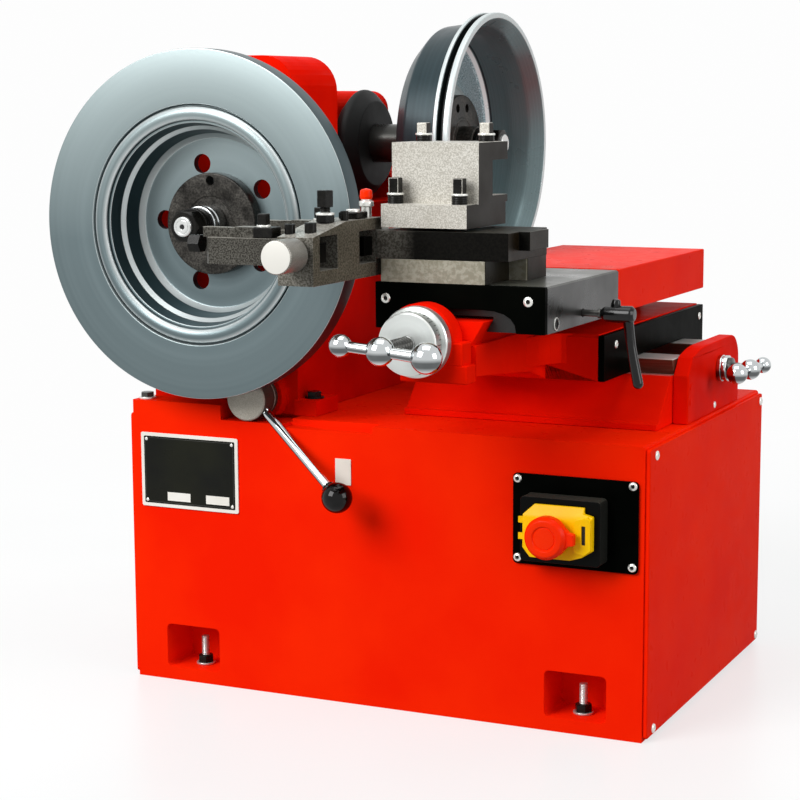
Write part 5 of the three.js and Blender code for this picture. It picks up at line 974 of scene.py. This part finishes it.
def lid_piece():
    """The yellow lid: a cap with cut corners and a sloped top, two hinge leaves and a slotted catch."""
    back, front = -211.5, -218
    outline = [(161, 177), (168, 168.5), (206, 168.5), (217, 172), (226.5, 178), (226.5, 209), (218, 211),
               (218, 216.5), (171, 216.5), (161, 207)]
    cap = prism(outline, "y", front, back, YELLOW, 0)
    slope = prism([(front - 3, 205), (front, 205), (front + 4.4, 218), (front - 3, 218)], "x",
                  150, 240, YELLOW, 0)
    hollow = prism(round_corners(164, 206, 171, 202, 4), "y", front + 2.4, back + 1, YELLOW, 0)
    bore(cap, [slope, hollow, rod(STOP_BUTTON, BACK, 8.4, -230, -200, YELLOW, 48)])
    soften(cap, 0.7)
    leaves = [brick((155.2, -213.6, low), (162, -211.7, low + 6), YELLOW, 0.4) for low in (183, 198)]
    catch = prism([(210, 177), (220, 174.4), (226, 179), (226, 207), (223, 209), (212, 206), (210, 203)],
                  "y", -220.3, -213, YELLOW, 0)
    bore(catch, [prism(round_corners(217.5, 221, 184, 201, 0.6), "y", -222, -216, YELLOW, 0)])
    soften(catch, 0.7)
    # A thin dark plate inside the catch's slot: painted shade in the slot.
    dark = brick((217.3, -218.5, 183.8), (221.2, -217.8, 201.2), RUBBER, 0)
    put("switch_lid_formed", merged(cap, catch, dark, *leaves), "switch_lid", "yellow_plastic", "switch_lid")


def bracket_piece():
    """The round boss that carries the dial, with its foot and side step."""
    boss = lathe(CROSS_SCREW, BACK, [
        (7.5, -322.3), (31, -322.3, 1), (32, -321, 1), (32, -303.3, 1), (31, -302.3), (7.5, -302.3)],
        RED_CAST)
    foot = brick((90, -321.9, 336), (152, -302.5, 352), RED_CAST, 1.6)
    step = brick((108, -321.9, 351), (148, -302.5, 371), RED_CAST, 1.6)
    put("screw_bracket_round", merged(boss, foot, step), "saddle", "red_paint", "cross_screw_bracket")


# Small fittings that only the picture calls for
def cabinet_fittings():
    plate = prism(round_corners(-255.5, -146, 175.3, 249.3, 2), "y", -189.3, -188.1, PLATE_LINE, 0.25, 2)
    panel = prism(round_corners(-252, -149.5, 178.8, 245.8, 1.2), "y", -189.6, -189.1, PLATE, 0.15, 1)
    fields = [brick((left, -189.75, 182.5), (left + 26, -189.4, 191), PLATE_LINE, 0)
              for left in (-225.8, -182)]
    left, right, bottom, top = -250.6, -150.9, 180.2, 244.4
    lines = [brick((x0, -189.68, z0), (x1, -189.4, z1), SHAFT, 0) for x0, z0, x1, z1 in (
        (left, bottom, right, 180.6), (left, 244, right, top),
        (left, bottom, -250.2, top), (-151.3, bottom, right, top))]
    rivets = [screw((x, -189.6, z), FRONT, 1.7, rise=0.8, socket=False)
              for x in (-249, -152.5) for z in (181.8, 242.8)]
    put("name_plate", merged(plate, panel, *fields, *lines, *rivets), "frame", "black_paint")
    small = prism(round_corners(-40.5, -24, 213, 238, 0.8), "y", -189.0, -188.1, WHITE_PLATE, 0.2, 2)
    put("small_plate", small, "frame", "chrome")
    screws = [screw((x, -190.8, z), FRONT, 4, rise=2)
              for x, z in ((145.9, 160.7), (255, 161), (145.7, 233.6), (255, 234.4))]
    screws += [screw((side * 269, y, z), (side, 0, 0), 4.4, rise=2)
               for side in (-1, 1) for y in (-168, 181) for z in (9, 259.5)]
    put("case_screws", merged(*screws), "frame", "chrome")
    pad_ring = washer((-90, -135, 285.3), 9.5, 0.1, 1.6, 0.5, DARK, 56)
    bolt = hexagon((-90, -135, 286.9), UP, 13, 5, DARK)
    plug = hexagon((-255, -176, 281), UP, 12, 6.5, SHAFT)
    plug_ring = washer((-255, -176, 281), 8.4, 0.1, 2, 0.5, ZINC, 48)
    put("top_bolts", merged(pad_ring, bolt, plug, plug_ring), "frame", "dark_steel")
    pins = [screw((264, -52, z), RIGHT, 3.4, RED_CAST, rise=0.7, socket=False) for z in (305, 290.5)]
    pins.append(screw((264, 28, 277), RIGHT, 3.4, rise=1.2))
    put("bracket_pins", merged(*pins), "frame", "chrome")


def square_bolt(x, y, seat, rise, head_material):
    """A threaded foot, a thin bright collar and a square head with its corners turned off."""
    middle = seat + rise * 0.35
    foot = thread((x, y, seat), UP, 6.9, 0.3, 1.6, 0.05, middle - seat, DARK)
    collar = lathe((x, y, 0), UP, [
        (0, middle - 0.2), (7.4, middle - 0.2), (7.6, middle + 0.6, 0.3), (7.2, middle + 1.6, 0.5),
        (0, middle + 1.6)], ZINC, 48)
    head = prism(square(x, y, 4.6), "z", middle + 1, seat + rise + 0.3, head_material, 1.0)
    return merged(foot, collar, head)


def socket_screw(x, y, z, radius, height):
    """A cap screw with its socket."""
    return lathe((x, y, z), UP, [
        (0, 0.05), (radius, 0.05), (radius, height, 0.6), (radius * 0.55, height, 0.2),
        (radius * 0.5, height * 0.45), (0, height * 0.4)], DARK, 40)


def clamp_stack(y):
    """A cutter's clamp on its arm: a dark block, a bright washer and a square-headed screw."""
    x, z = -1, 460
    block = brick((x - 6, y - 8, z + 0.1), (x + 12, y + 8, z + 9), DARK, 0.8)
    ring = washer((x, y, z + 9), 6, 0, 1.6, 0.4, ZINC, 40)
    head = prism(square(x, y, 4), "z", z + 10.6, z + 20, DARK, 0.9)
    return [block, ring, head]


def table_screws():
    side_face, front_face = 209, -290
    parts = [screw((x, front_face, z), FRONT, 4.4, rise=1.4) for x, z in ((62, 403), (194, 404.5))]
    at = (side_face, -264, 384)
    parts.append(screw(at, RIGHT, 5, DARK))
    parts.append(lathe(at, RIGHT, [
        (4.9, 0.05), (5.6, 0.05), (5.6, 1.1, 0.3), (4.9, 1.1)], ZINC, 40))
    parts.append(rod((130, -116, 417), UP, 4.2, 0.06, 0.1, RUBBER, 40))
    put("table_screws", merged(*parts), "table", "chrome")
    parts = [screw((side_face, y, 349), RIGHT, 3.8, rise=1.4) for y in (-107, 156)]
    put("wiper_screws", merged(*parts), "saddle", "chrome")


def head_fasteners():
    """The nuts, screws and red-capped post on the cutter yoke."""
    lock = (35, -350)
    top = 472.1
    nuts = [
        hexagon((*lock, 471.4), UP, 15, 6, DARK),
        lathe((*lock, 477.4), UP, [(0, 0), (8, 0), (8, 1.4, 0.4), (5, 2.4), (0, 2.4)], ZINC, 40),
        thread((*lock, 479), UP, 4.6, 0.6, 1.6, 0, 5, DARK, 28),
        hexagon((*lock, 484), UP, 13, 14, DARK),
        hexagon((25, -331, top), UP, 11, 6, DARK),
        socket_screw(25, -331, 478, 4, 12),
    ]
    small = [socket_screw(24, -392, 462.9, 4.4, 9), socket_screw(40, -386, 464, 5, 9),
             socket_screw(46, -336, top, 3.4, 8)]
    others = [
        brick((31, -318, top), (49, -297, 478), DARK, 1.2),
        washer((40, -308, 478), 6, 0, 2.2, 0.8, ZINC, 40),
        lathe((42, -286, top), UP, [
            (0, 0), (4.6, 0), (4.6, 9, 0.5), (6.4, 9.6, 0.4), (6.4, 13.6, 0.8), (4.4, 14.4, 0.4), (4.4, 16),
            (0, 16)], ZINC, 48),
        lathe((42, -286, 487.6), UP, [
            (0, 0), (5, 0), (5.6, 2, 1), (5.2, 8, 2.4), (0, 9.4)], BUTTON, 48, steps=6),
    ]
    put("head_fasteners", merged(*nuts, *others, *small), "table", "dark_steel")


def cutter_and_post_bolts():
    bit = hexagon((-58.8, -393, 454), LEFT, 14, 11, DARK)
    put("front_clamp", merged(bit, *clamp_stack(-391)), "front_cutter", "dark_steel")
    put("rear_clamp", merged(*clamp_stack(-290)), "rear_cutter", "dark_steel")
    bolts = []
    for x in (66.8, 126.8):
        bolts.append(square_bolt(x, -279, 484, 22, DARK))
        bolts.append(square_bolt(x, -220, 536, 16, POST))
    put("post_bolts", merged(*bolts), "tool_post", "dark_steel")


# Floor and light
WHITE = 0.985
SKY_LIGHT = 0.35
FLOOR_TONES = ("#7c7f7f", "#828585")
FLOOR_GLOW = 0.68
FLOOR_REACH = 40000


def make_floor():
    """A pale floor that keeps the shadow near the lathe and turns plain white further out."""
    s = Shader("floor", Roughness=0.35, Specular_IOR_Level=0.08)
    s.colour(s.mix(s.span(s.noise(3, 2), 0.3, 0.7, 0, 1), *FLOOR_TONES))
    seen = s.seen()
    glow = s.through("Emission", "#ffffff", s.times(seen, FLOOR_GLOW))
    near = s.through("AddShader", s.main.outputs[0], glow)
    far = s.through("Emission", "#ffffff", WHITE)
    away = s.beyond(s.radius((0, 0, 0), "z"), 0.55, 1.5)
    joined = s.through("MixShader", s.times(seen, away), near, far)
    s.feed(s.tree.nodes["Material Output"].inputs["Surface"], joined)
    corners = [(x, y, -0.2) for x, y in square(0, 0, FLOOR_REACH)]
    floor = from_lists(corners, [[0, 1, 2, 3]], s.material)
    floor.name = "floor"


def make_world():
    world = bpy.data.worlds.new("studio")
    bpy.context.scene.world = world
    world.use_nodes = True
    sky = Nodes(world.node_tree)
    back = sky.tree.nodes["Background"]
    back.inputs["Color"].default_value = (1, 1, 1, 1)
    sky.feed(back.inputs["Strength"], sky.span(sky.seen(), 0, 1, SKY_LIGHT, WHITE))


def area(name, at, target, size, power):
    """A square lamp aimed at a point, in metres and watts."""
    data = bpy.data.lights.new(name, "AREA")
    data.energy = power
    data.shape = "RECTANGLE"
    data.size = data.size_y = size
    made = add(name, data)
    made.location = at
    made.rotation_euler = (Vector(target) - Vector(at)).to_track_quat("-Z", "Y").to_euler()


make_camera()
bpy.context.scene.view_settings.view_transform = "Standard"
carried_over_nodes()
disc_pieces()
drum_pieces()
cross_screw_pieces()
lead_screw_pieces()
feed_lever_pieces()
clamp_lever_piece()
foot_bolts()
adjuster_pieces()
switch_buttons()
lid_piece()
bracket_piece()
cabinet_fittings()
table_screws()
head_fasteners()
cutter_and_post_bolts()
make_floor()
make_world()
area("key", (-1.2, -2.5, 2.0), (-0.05, 0, 0.35), 1.8, 95)
area("top", (0.1, -0.3, 2.6), (0, 0, 0.3), 1.6, 16)
area("side", (2.7, -0.4, 1.2), (0, 0, 0.3), 1.4, 27)
